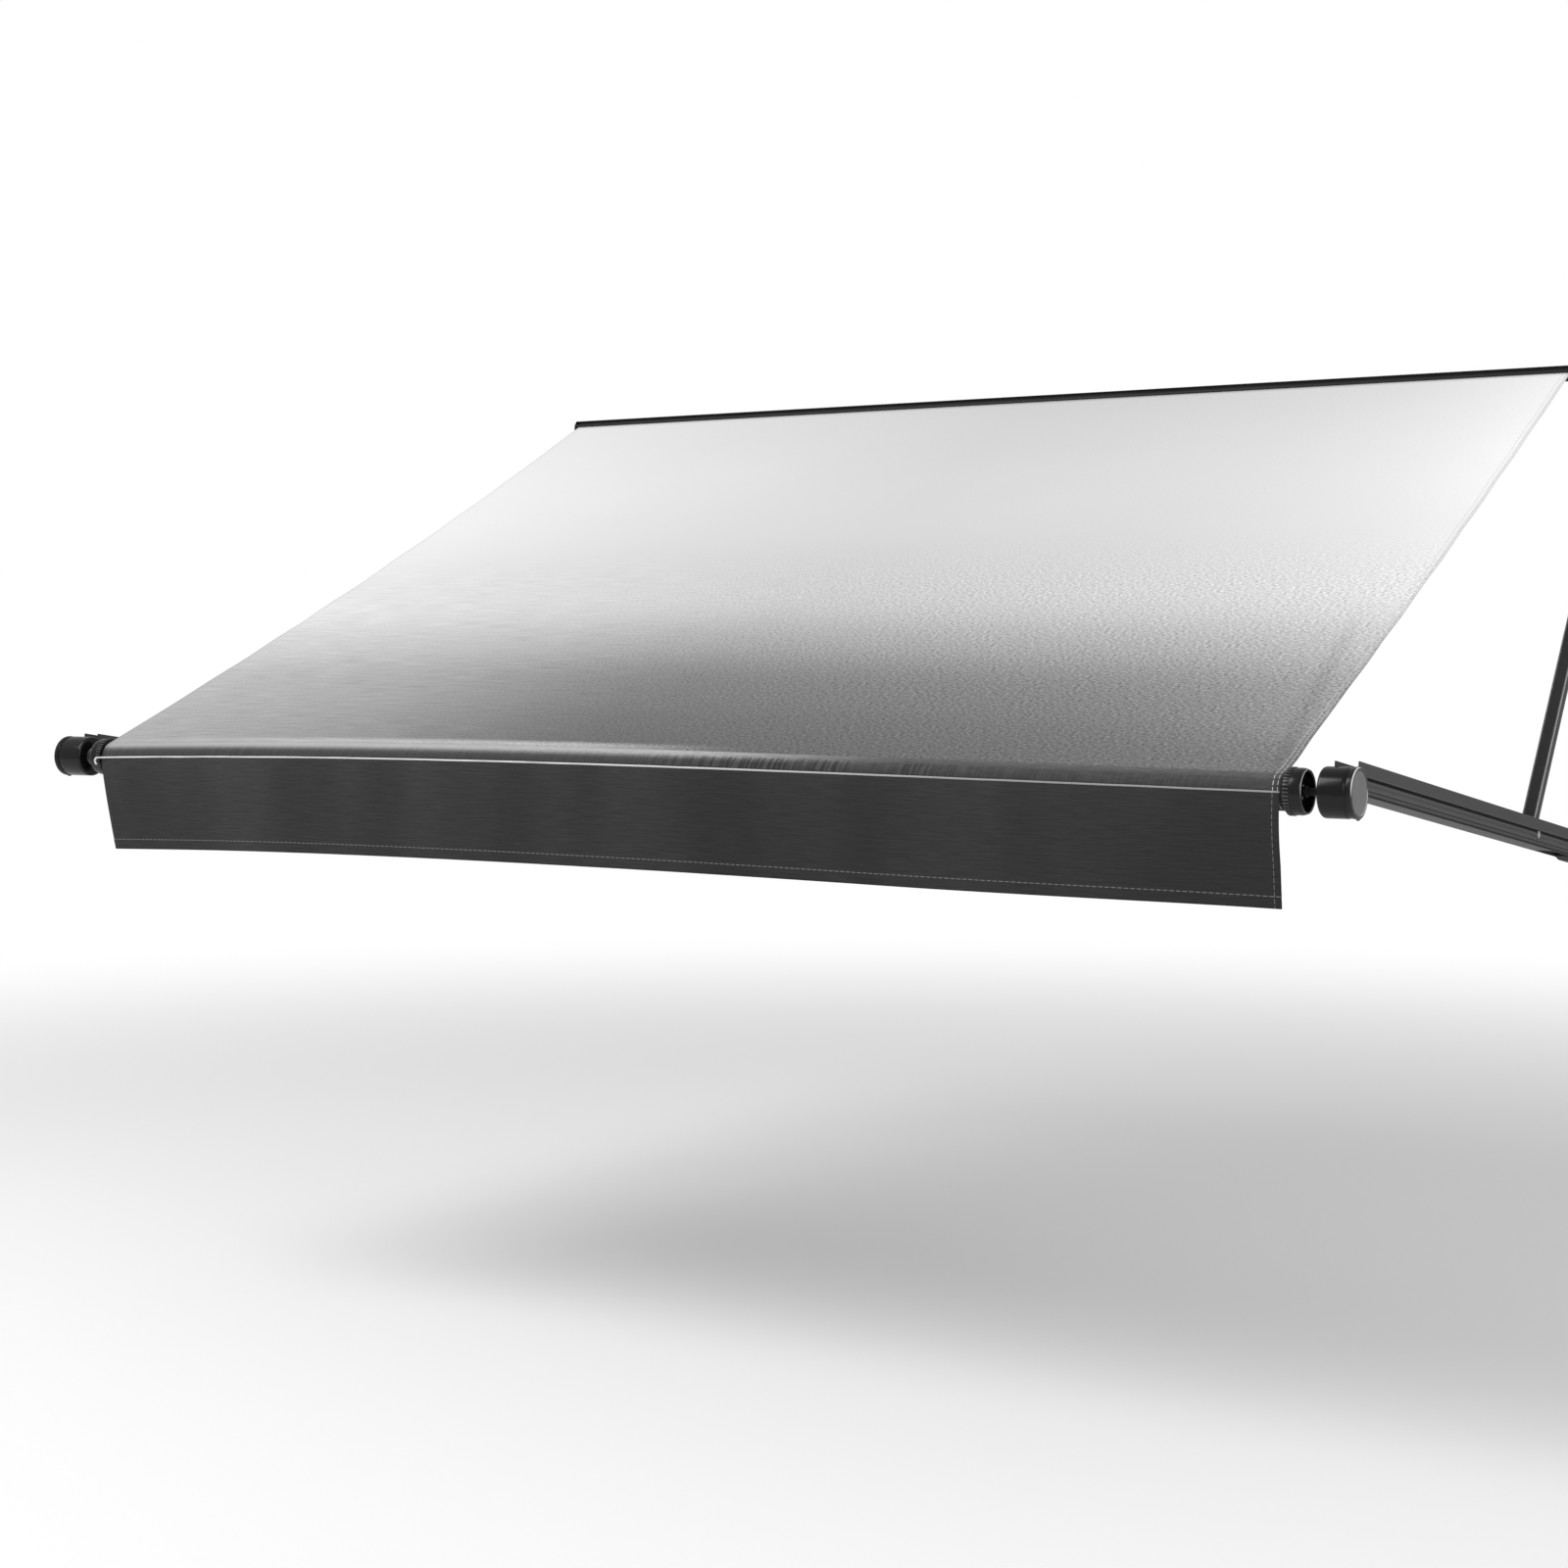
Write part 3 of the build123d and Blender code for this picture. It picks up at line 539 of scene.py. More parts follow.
@dataclass(frozen=True)
class StreakCloth:
    """Woven awning cloth with slubs, a weave, a tone that runs down its length and stitched hems.

    Its width lies along U, its length along V, from its wall edge or top. The stops give its tone.
    """

    name: str
    length: float
    width: float
    stops: Stops = ()
    slub: Pair = (0.08, 0.08)
    slub_size: Point = (26.0, 115.0, 1.0)
    slub_onset: Pair = (0.42, 0.60)
    slub_contrast: float = 8.0
    slub_height: float = 0.35
    slub_darkest: float = 0.25
    finer: float = 2.3
    finer_share: float = 0.55
    finer_rough: Pair = (0.14, 0.60)
    cloud_size: Point = (1.1, 1.6, 1.0)
    cloud_share: float = 0.06
    sides: StitchRows = StitchRows()
    end: StitchRows = StitchRows()
    thread: Colour = (0.62, 0.62, 0.61)
    thread_height: float = 0.8
    left_thread: float = 1.0
    left_range: Pair = (0.2, 0.3)
    hem_height: float = 0.7
    weave: Pair = (0.0016, 0.0012)
    weave_height: float = 0.08
    depth: float = 0.0007
    strength: float = 0.8
    shine: float = 0.2
    sheen: float = 0.02
    sheen_rough: float = 0.4

    def tone(self, g: Weave) -> Socket:
        """Gives the cloth's colour before its slubs."""
        return g.ramp(g.maths("DIVIDE", g.v, self.length), self.stops, "B_SPLINE")

    def relief(self, g: Weave, normal: Socket) -> Socket:
        """Adds the cloth's own creases to the normal of its weave."""
        return normal

    def slub_share(self, g: Weave) -> Socket | float:
        """Gives how strongly the slubs show along the cloth."""
        return g.spread(g.v, *(self.length * share for share in self.slub_onset), *self.slub)

    def mottle(self, g: Weave, slub: Socket, finer: Socket) -> Socket:
        """Gives the light and dark of the slubs, around 0, from two noises."""
        return g.less(g.times(finer, self.finer_share, slub), (1 + self.finer_share) / 2)

    def material(self) -> bpy.types.Material:
        """Builds the material.

        Returns:
            The material.
        """
        g = Weave(self.name)
        slub = g.noise(g.place(Space.CLOTH, self.slub_size))
        finer = g.noise(g.place(Space.CLOTH, tuple(c * self.finer for c in self.slub_size)), 1.0, 1.0)
        cloud = g.noise(g.place(Space.CLOTH, self.cloud_size))
        contrast = g.times(self.slub_share(g), self.slub_contrast)
        shade = g.maths("MAXIMUM", g.times(self.mottle(g, slub, finer), contrast, 1.0), self.slub_darkest)
        shade = g.times(shade, g.times(cloud, self.cloud_share, 1 - self.cloud_share / 2))
        edge_in = g.maths("MINIMUM", g.u, g.less(self.width, g.u))
        end_in = g.less(self.length, g.v)
        stitched = self.sides.thread(g, edge_in, g.v)
        if self.sides.offsets:
            stitched = g.times(stitched, g.spread(g.u, *self.left_range, self.left_thread, 1.0))
        stitched = g.maths("MAXIMUM", stitched, self.end.thread(g, end_in, g.u))
        hem = g.maths("MAXIMUM", self.sides.folded(g, edge_in), self.end.folded(g, end_in))
        warp, weft = (g.maths("SINE", g.times(way, 2 * math.pi / pitch))
                      for way, pitch in zip((g.u, g.v), self.weave))
        height = g.times(g.times(warp, weft), self.weave_height, g.times(slub, self.slub_height))
        height = g.times(stitched, self.thread_height, g.times(hem, self.hem_height, height))
        return g.finish(
            Base_Color=g.mix(stitched, g.shade(self.tone(g), shade), self.thread),
            Roughness=g.times(finer, *self.finer_rough),
            Specular_IOR_Level=self.shine,
            Sheen_Weight=self.sheen,
            Sheen_Roughness=self.sheen_rough,
            Normal=self.relief(g, g.bump(height, self.depth, self.strength)),
        )


@dataclass(frozen=True)
class FadedCloth(StreakCloth):
    """Canopy cloth with painted sheen towards its two sides, most at the lower left: a pale haze added to
    its fade that stands for light on the cloth.

    A field of four numbers is the range that a value eases over and what it gives at both ends.
    """

    # The stops are the dye's fade from pale at the rail to charcoal at the roll, with some of the canopy's
    # light and shade painted into them.
    stops: Stops = (
        (0.00, 0.615), (0.12, 0.635), (0.27, 0.655), (0.42, 0.625), (0.52, 0.572), (0.60, 0.556),
        (0.65, 0.505), (0.70, 0.388), (0.745, 0.328), (0.79, 0.232), (0.83, 0.188), (0.88, 0.170),
        (0.92, 0.150), (1.00, 0.115),
    )
    slub: Pair = (0.012, 0.19)
    slub_size: Point = (100.0, 240.0, 1.0)
    slub_rise: Span = (0.62, 0.85, 1.0, 1.5)
    sides: StitchRows = StitchRows(offsets=(0.008, 0.019), hem=0.025)
    left_thread: float = 0.12
    left_power: float = 1.25
    left_sheen: float = 0.137
    corner_across: Pair = (0.05, 0.65)
    corner_along: Pair = (0.55, 0.85)
    corner_sheen: float = 0.09
    right_power: float = 1.5
    right_wane: Span = (0.50, 0.97, 0.165, 0.030)
    rim_power: float = 6.0
    rim_wane: Span = (0.2, 0.5, 0.14, 0.085)
    rim_end: Span = (0.90, 0.98, 1.0, 0.35)
    fold_run: Pair = (0.233, 0.263)
    fold_width: Pair = (0.030, 0.004)
    fold_onset: Pair = (0.60, 0.76)
    # The fold's line is darkened by this much: painted shade.
    fold_painted_shade: float = -0.12
    # The crown is a painted highlight where the cloth meets the top of the roll.
    crown_start: Pair = (0.984, 0.994)
    crown_end: Pair = (0.44, 0.62)
    crown_grow: float = 0.22
    crown_highlight_tone: Pair = (0.36, 0.41)
    streak_size: Point = (8.0, 210.0, 1.0)
    streak_share: Pair = (0.36, 0.1)
    dash_share: Pair = (0.15, 1.2)
    dash_range: Pair = (0.2, 0.7)

    def tone(self, g: Weave) -> Socket:
        """Gives the fade with the painted sheen at its sides, which ends in the painted highlight on the
        roll's crown.

        Args:
            g: The material's graph.

        Returns:
            The colour.
        """
        middle = g.maths("DIVIDE", g.less(g.u, self.width / 2), self.width / 2)
        left = g.maths("MAXIMUM", g.times(middle, -1.0), 0.0)
        right = g.maths("MAXIMUM", middle, 0.0)
        share = g.maths("DIVIDE", g.v, self.length)
        # pale is painted sheen: a haze added to the fade towards the left, the lower left corner and the
        # right rim.
        pale = g.times(g.maths("POWER", left, self.left_power), self.left_sheen)
        corner = g.times(g.spread(left, *self.corner_across), g.spread(share, *self.corner_along))
        pale = g.times(corner, self.corner_sheen, pale)
        pale = g.times(g.maths("POWER", right, self.right_power), g.spread(share, *self.right_wane), pale)
        rim = g.times(g.spread(share, *self.rim_wane), g.spread(share, *self.rim_end))
        pale = g.times(g.maths("POWER", right, self.rim_power), rim, pale)
        body = g.shade(g.mix(1.0, super().tone(g), g.grey(pale), "ADD"), self.fold(g, share))
        return self.crowned(g, body, g.spread(share, *self.crown_start))

    def fold(self, g: Weave, share: Socket) -> Socket:
        """Paints the shade of the soft fold that nears the right edge towards the roll.

        Args:
            g: The material's graph.
            share: Share of the cloth's length from the rail.

        Returns:
            The brightness, 1 away from the fold.
        """
        slope, start = self.fold_run
        near = g.spread(g.apart(g.u, g.times(share, slope, self.width - start)), *self.fold_width)
        return g.times(g.times(near, g.spread(share, *self.fold_onset)), self.fold_painted_shade, 1.0)

    def crowned(self, g: Weave, body: Socket, share: Socket) -> Socket:
        """Lays the painted highlight on the roll's crown over a tone; it dies out towards the right.

        Args:
            g: The material's graph.
            body: The tone below.
            share: How much crown there is along the cloth, 0 to 1.

        Returns:
            The colour output.
        """
        light = g.spread(g.u, *(self.width * end for end in self.crown_end), 1.0, 0.0)
        crown = g.grey(g.spread(g.u, 0.0, self.width * self.crown_grow, *self.crown_highlight_tone))
        return g.mix(g.times(share, light), body, crown)

    def mottle(self, g: Weave, slub: Socket, finer: Socket) -> Socket:
        """Gives long faint streaks at the left that turn into short strong dashes at the right.

        Args:
            g: The material's graph.
            slub: The coarser noise of the slubs.
            finer: The finer one.

        Returns:
            The light and dark, around 0.
        """
        run = [self.width * share for share in self.dash_range]
        streaks = g.less(g.noise(g.place(Space.CLOTH, self.streak_size)), 0.5)
        streaks = g.times(streaks, g.spread(g.u, *run, *self.streak_share))
        return g.times(super().mottle(g, slub, finer), g.spread(g.u, *run, *self.dash_share), streaks)

    def slub_share(self, g: Weave) -> Socket | float:
        """Gives slubs that keep getting stronger towards the roll."""
        low, high, *shares = self.slub_rise
        return g.times(super().slub_share(g), g.spread(g.v, self.length * low, self.length * high, *shares))


@dataclass(frozen=True)
class RollCloth(FadedCloth):
    """The canopy's outer turn on the roller: a painted highlight on its crown, a dark front that is the
    cloth's charcoal with painted shade, and tension creases with painted light and shade.

    Its stops and its crown run once round it, and start where the canopy's length ends.
    """

    around: float = 0.26
    # The stops darken from the canopy's charcoal to the roll's front: the cloth's own charcoal with painted
    # shade on the front.
    stops: Stops = ((0.0, 0.115), (0.05, 0.085), (0.085, 0.056), (0.14, 0.046), (0.18, 0.042), (1.0, 0.042))
    # The crown stops place a painted highlight on the roll's top.
    crown: Stops = (
        (0.0, 1.0), (0.045, 0.92), (0.068, 0.66), (0.088, 0.26), (0.11, 0.03), (0.13, 0.0), (1.0, 0.0),
    )
    crown_end: Pair = (0.54, 0.75)
    slub: Pair = (0.08, 0.08)
    slub_size: Point = (26.0, 115.0, 1.0)
    pucker_middle: float = 2.24
    pucker_reach: Pair = (0.50, 0.15)
    pucker_spread: Pair = (0.80, 0.20)
    pucker_front: Pair = (0.012, 0.024)
    pucker_slant: float = 0.25
    pucker_size: Point = (125.0, 5.0, 1.0)
    pucker_range: Span = (0.34, 0.64, -1.0, 1.0)
    pucker_light_and_shade: float = 0.42
    pucker_depth: float = 0.0022
    clump_size: Point = (7.0, 3.0, 1.0)
    clump_range: Pair = (0.28, 0.52)

    def tone(self, g: Weave) -> Socket:
        """Gives the tone round the roll.

        Args:
            g: The material's graph.

        Returns:
            The colour.
        """
        turn = g.maths("DIVIDE", g.less(g.v, self.length), self.around)
        body = self.crowned(g, g.ramp(turn, self.stops), g.ramp(turn, self.crown))
        # The creases lighten and darken the colour: painted light and shade, besides their bump.
        return g.shade(body, g.times(self.puckers(g), self.pucker_light_and_shade, 1.0))

    def slub_share(self, g: Weave) -> Socket | float:
        """Gives the same slubs all round the roll."""
        return self.slub[1]

    def puckers(self, g: Weave) -> Socket:
        """Draws the small slanted creases that tension leaves on the roll's front.

        Args:
            g: The material's graph.

        Returns:
            The creases, -1 to 1.
        """
        slant = g.node("ShaderNodeCombineXYZ", {0: g.times(g.v, self.pucker_slant, g.u), 1: g.v}).outputs[0]
        scaled = g.node("ShaderNodeMapping", {"Vector": slant, "Scale": self.pucker_size}).outputs["Vector"]
        ridge = g.spread(g.noise(scaled, 1.0, 1.0), *self.pucker_range)
        patch = g.spread(g.apart(g.u, self.pucker_middle), *self.pucker_reach)
        clumps = g.spread(g.noise(g.place(Space.CLOTH, self.clump_size), 1.0, 1.0), *self.clump_range)
        front = g.spread(g.less(g.v, self.length), *self.pucker_front)
        return g.times(ridge, g.times(g.times(g.times(patch, *self.pucker_spread), front), clumps))

    def relief(self, g: Weave, normal: Socket) -> Socket:
        """Raises the creases."""
        return g.bump(self.puckers(g), self.pucker_depth, 1.0, normal)


@dataclass(frozen=True)
class ValanceCloth(StreakCloth):
    """Charcoal valance cloth with soft upright zones of painted light and shade for its soft folds, a little
    paler at the left.
    """

    stops: Stops = ((0.0, 0.030), (0.35, 0.026), (1.0, 0.026))
    slub: Pair = (0.10, 0.10)
    slub_size: Point = (13.0, 210.0, 1.0)
    sides: StitchRows = StitchRows(offsets=(0.0155,), hem=0.018, half_width=0.0008)
    end: StitchRows = StitchRows(offsets=(0.026,), hem=0.029)
    thread: Colour = (0.20, 0.20, 0.20)
    left_thread: float = 0.0
    fold_shade_size: Point = (3.2, 0.9, 1.0)
    fold_shade_range: Span = (0.35, 0.65, 0.84, 1.16)
    paler_to: float = 0.75
    paler: Pair = (1.28, 0.94)

    def tone(self, g: Weave) -> Socket:
        """Gives the dark tone with its zones of painted light and shade.

        Args:
            g: The material's graph.

        Returns:
            The colour.
        """
        # The zones lighten and darken the cloth in upright strips: painted light and shade of soft folds.
        zones = g.spread(g.noise(g.place(Space.CLOTH, self.fold_shade_size), 1.0, 1.0), *self.fold_shade_range)
        paler = g.spread(g.u, 0.0, self.width * self.paler_to, *self.paler)
        return g.shade(super().tone(g), g.times(zones, paler))


@dataclass(frozen=True)
class WornCord:
    """Pale woven cord with a twist and a little dirt, which dulls from one X on."""

    name: str
    colour: Colour = (0.74, 0.74, 0.73)
    dull_from: float = 9.0
    dull_run: float = 1.6
    dull_gain: float = 0.42
    dirt_size: Point = (9.0, 60.0, 60.0)
    dirt_range: Pair = (0.42, 0.75)
    dirt_gain: float = 0.72
    twist: float = 0.0032
    twist_slant: float = 1.4
    twist_depth: float = 0.0003
    twist_strength: float = 0.6
    roughness: float = 0.62
    shine: float = 0.3

    def material(self) -> bpy.types.Material:
        """Builds the material.

        Returns:
            The material.
        """
        g = Graph(self.name)
        dirt = g.noise(g.place(Space.SOLID, self.dirt_size), 1.0, 3.0)
        split = g.parts(g.place(Space.SOLID))
        turn = g.maths("ADD", split["X"], g.times(split["Z"], self.twist_slant))
        twist = g.maths("SINE", g.times(turn, 2 * math.pi / self.twist))
        pale = g.mix(g.spread(dirt, *self.dirt_range), self.colour, lifted(self.colour, self.dirt_gain))
        dull = g.spread(split["X"], self.dull_from, self.dull_from + self.dull_run)
        return g.finish(
            Base_Color=g.mix(dull, pale, lifted(self.colour, self.dull_gain)),
            Roughness=self.roughness,
            Specular_IOR_Level=self.shine,
            Normal=g.bump(twist, self.twist_depth, self.twist_strength),
        )


# Painted light and shade up the arms' side walls: dark lines in the grooves and lighter bands between them.
ARM_LIGHT_AND_SHADE_BANDS = (
    (0.000, 0.060), (0.022, 0.014), (0.069, 0.085), (0.166, 0.012), (0.196, 0.092), (0.322, 0.078),
    (0.411, 0.092), (0.480, 0.001), (0.590, 0.115), (0.614, 0.078), (0.984, 0.120),
)
# The strut's side walls are painted lighter than its front: painted light.
STRUT_LIT_SIDE_BANDS = ((0.0, 0.046), (1.0, 0.046))
HEAD_PLASTIC = MouldedPlastic(
    # The paler edge colours of these plastics are painted highlights.
    "head_plastic", (0.003, 0.003, 0.0035), roughness=0.15, shine=0.27, edge=0.0012,
    edge_highlight=(0.16, 0.16, 0.165),
)
DISC_PLASTIC = MouldedPlastic(
    "disc_plastic", (0.135, 0.135, 0.14), roughness=0.42, edge=0.0016, edge_highlight=even(0.5),
)
# The collar's lip and the cover's rim are painted pale where they face the light: painted light.
LIP_PLASTIC = MouldedPlastic(
    "lip_plastic", (0.03, 0.03, 0.031), roughness=0.25, edge_highlight=even(0.2), painted_light_tone=0.5,
)
RIM_PLASTIC = MouldedPlastic(
    "rim_plastic", (0.012, 0.012, 0.013), roughness=0.2, edge_highlight=even(0.3), painted_light_tone=0.9,
)
RIB_PLASTIC = MouldedPlastic("rib_plastic", (0.030, 0.030, 0.031), roughness=0.25, edge_highlight=even(0.2))
# The collar's rivets are a pale grey with paler edges: painted glints for metal rivets.
RIVET_PAINTED_GLINT = MouldedPlastic("rivet_paint", even(0.62), roughness=0.3, edge_highlight=even(0.8))


def to_object(name: str, bm: Mesh, material: bpy.types.Material, smooth: bool = True) -> bpy.types.Object:
    """Turns a bmesh into an object at the origin.

    Args:
        name: The piece's name.
        bm: The mesh, freed here.
        material: Its finish.
        smooth: Whether its faces are smooth shaded.

    Returns:
        The object, linked to the scene.
    """
    mesh = bpy.data.meshes.new(name)
    bm.to_mesh(mesh)
    bm.free()
    mesh.materials.append(material)
    for face in mesh.polygons:
        face.use_smooth = smooth
    made = bpy.data.objects.new(name, mesh)
    bpy.context.scene.collection.objects.link(made)
    return made


def thicken(piece: bpy.types.Object, thickness: float, offset: float) -> None:
    """Gives a sheet its thickness.

    Args:
        piece: The sheet.
        thickness: How thick it gets.
        offset: 0 about the sheet's middle, -1 inwards.
    """
    wall = piece.modifiers.new("thickness", "SOLIDIFY")
    wall.thickness = thickness
    wall.offset = offset


def cloth_grid(across: int, along: int, shape: Callable[[float, float], tuple[Point, Pair]]) -> Mesh:
    """Lays a grid of faces into a shape and gives it a UV map in metres.

    Args:
        across: Faces across the cloth.
        along: Faces along the cloth.
        shape: Gives the place and the UV of a point from its shares across and along, 0 to 1.

    Returns:
        The mesh.
    """
    bm = bmesh.new()
    bmesh.ops.create_grid(bm, x_segments=across, y_segments=along, size=0.5)
    layer = bm.loops.layers.uv.new("cloth")
    spots: dict[int, Pair] = {}
    bm.verts.index_update()
    for vert in bm.verts:
        place, spots[vert.index] = shape(vert.co.x + 0.5, vert.co.y + 0.5)
        vert.co = place
    for face in bm.faces:
        for loop in face.loops:
            loop[layer].uv = spots[loop.vert.index]
    return bm


def step(value: float, start: float, end: float) -> float:
    """Rises smoothly from 0 at start to 1 at end."""
    share = min(1.0, max(0.0, (value - start) / (end - start)))
    return share * share * (3 - 2 * share)


@dataclass(frozen=True)
class Ripple:
    """Smooth unevenness with its own seed."""

    height: float
    across: float
    along: float
    seed: float

    def at(self, x: float, y: float) -> float:
        """Gives the unevenness at a point, from minus to plus its height."""
        return self.height * noise.noise(Vector((x * self.across, y * self.along, self.seed)))


@dataclass
class Roller:
    """Sizes of the roll that the canopy and the valance share."""

    out: float = 2.193
    height: float = -1.085
    radius: float = 0.041
    turn_growth: float = 0.0012
    half_width: float = 1.705
    piping_radius: float = 0.0022
    bow: float = 0.0182
    bow_lean: float = 0.45
    seam: float = 90.0

    def outer(self) -> float:
        """Gives the radius of the roll's outer turn."""
        return self.radius + self.turn_growth

    def lift(self, x: float) -> float:
        """Gives how far the cloth's pull bends the roller upwards at a place along it."""
        u = max(-1.0, min(1.0, x / self.half_width))
        return self.bow * (1 - u * u) * (1 - self.bow_lean * u)

    def spot(self, x: float, angle: float, radius: float) -> Point:
        """Gives a point round the roll.

        Args:
            x: Place along the roll.
            angle: Degrees from the top towards the front.
            radius: Distance from the axis.

        Returns:
            The point.
        """
        turn = math.radians(angle)
        height = self.height + self.lift(x)
        return (x, -(self.out + radius * math.sin(turn)), height + radius * math.cos(turn))


@dataclass
class Canopy:
    """The canopy: one curved sheet from the rail to the roll."""

    roller: Roller
    width: float = 3.410
    start: Pair = (0.0174, -0.0159)
    end: Pair = (2.2091, -1.0466)
    sag: float = 0.023
    thickness: float = 0.0012
    folded_end: Pair = (0.1654, -0.1907)
    billow: Ripple = Ripple(0.0016, 1.3, 2.0, 3.1)
    hem_ripple: float = 0.0012
    hem_waves: float = 46.0
    hem_drift: Ripple = Ripple(3.0, 1.0, 4.0, 8.2)
    hem_reach: float = 0.12
    pucker: Ripple = Ripple(0.0010, 16.0, 3.0, 5.5)
    pucker_onset: Pair = (0.86, 0.97)
    pucker_end: Pair = (0.985, 1.0)
    draw_left: float = 0.004
    draw_right: float = -0.008
    draw_reach: float = 0.35
    flare: float = 0.0035
    flare_at: float = 0.972
    flare_length: float = 0.028
    across: int = 220
    along: int = 110

    def length(self) -> float:
        """Gives the cloth's length from the rail to the roll: the chord, and what the sag adds to it."""
        run = math.dist(self.start, self.end)
        return run * (1 + 8 / 3 * (self.sag / run) ** 2)

    def shape(self, a: float, b: float) -> tuple[Point, Pair]:
        """Places one point of the sheet.

        Args:
            a: Share across, 0 at the left.
            b: Share along, 0 at the rail.

        Returns:
            Its place and its UV.
        """
        x = (a - 0.5) * self.width
        run = math.dist(self.start, self.end)
        out_step, up_step = (self.end[0] - self.start[0]) / run, (self.end[1] - self.start[1]) / run
        free = 4 * b * (1 - b)
        edge = min(a, 1 - a) * self.width
        hem = math.exp(-edge / self.hem_reach)
        lift = free * (self.billow.at(x, b) - self.sag)
        lift += free * self.hem_ripple * hem * math.sin(b * self.hem_waves + self.hem_drift.at(x, b))
        lift += self.pucker.at(x, b) * step(b, *self.pucker_onset) * (1 - step(b, *self.pucker_end))
        pull = free * (self.draw_left if a < 0.5 else self.draw_right) * math.exp(-edge / self.draw_reach)
        if a > 0.5:
            pull += self.flare * hem * math.exp(-((b - self.flare_at) / self.flare_length) ** 2)
        out = self.start[0] + out_step * b * run - up_step * lift
        up = self.start[1] + up_step * b * run + out_step * lift + self.roller.lift(x) * b
        return (x + pull, -out, up), (a * self.width, b * self.length())

    def build(self) -> bpy.types.Object:
        """Returns:
            The object.
        """
        cloth = FadedCloth("canopy_cloth_fade", self.length(), self.width)
        piece = to_object("canopy_sheet", cloth_grid(self.across, self.along, self.shape), cloth.material())
        thicken(piece, self.thickness, 0.0)
        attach(piece, "wall_frame")
        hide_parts("canopy")
        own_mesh(piece)
        self.length()
        return piece


@dataclass
class WoundCloth:
    """The cloth on the roller, whose outer turn runs on from the canopy."""

    roller: Roller
    canopy: Canopy
    around: int = 144
    along: int = 170
    wall: float = 0.0018
    dent: Ripple = Ripple(0.0003, 5.0, 9.0, 2.4)
    dent_onset: Pair = (0.0, 0.03)
    dent_end: Pair = (0.95, 1.0)

    def build(self) -> bpy.types.Object:
        """Builds and dresses the roll.

        Returns:
            The object.
        """
        r = self.roller
        lift_off = math.degrees(math.atan2(self.canopy.end[0] - r.out, self.canopy.end[1] - r.height))

        def shape(a: float, b: float) -> tuple[Point, Pair]:
            """Places one point of the outer turn from its shares along the roll and round it."""
            x = (a - 0.5) * 2 * r.half_width
            calm = step(b, *self.dent_onset) * (1 - step(b, *self.dent_end))
            radius = r.outer() - r.turn_growth * b + calm * self.dent.at(x, b)
            wound = self.canopy.length() + math.radians(360 * b) * r.outer()
            return r.spot(x, lift_off + 360 * b, radius), (a * 2 * r.half_width, wound)

        bm = cloth_grid(self.along, self.around, shape)
        bmesh.ops.remove_doubles(bm, verts=[v for v in bm.verts if v.is_boundary], dist=MERGE_DISTANCE)
        cloth = RollCloth("wound_cloth", self.canopy.length(), 2 * r.half_width,
                          around=2 * math.pi * r.outer())
        bmesh.ops.recalc_face_normals(bm, faces=bm.faces)
        probe = max(bm.faces, key=lambda f: f.calc_center_median().z)
        if probe.normal.dot(probe.calc_center_median() - Vector((0.0, -r.out, r.height))) < 0:
            bmesh.ops.reverse_faces(bm, faces=bm.faces)
        piece = to_object("wound_canopy_cloth", bm, cloth.material())
        thicken(piece, self.wall, -1.0)
        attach(piece, "roller_unit")
        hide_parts("cloth_roll")
        return piece


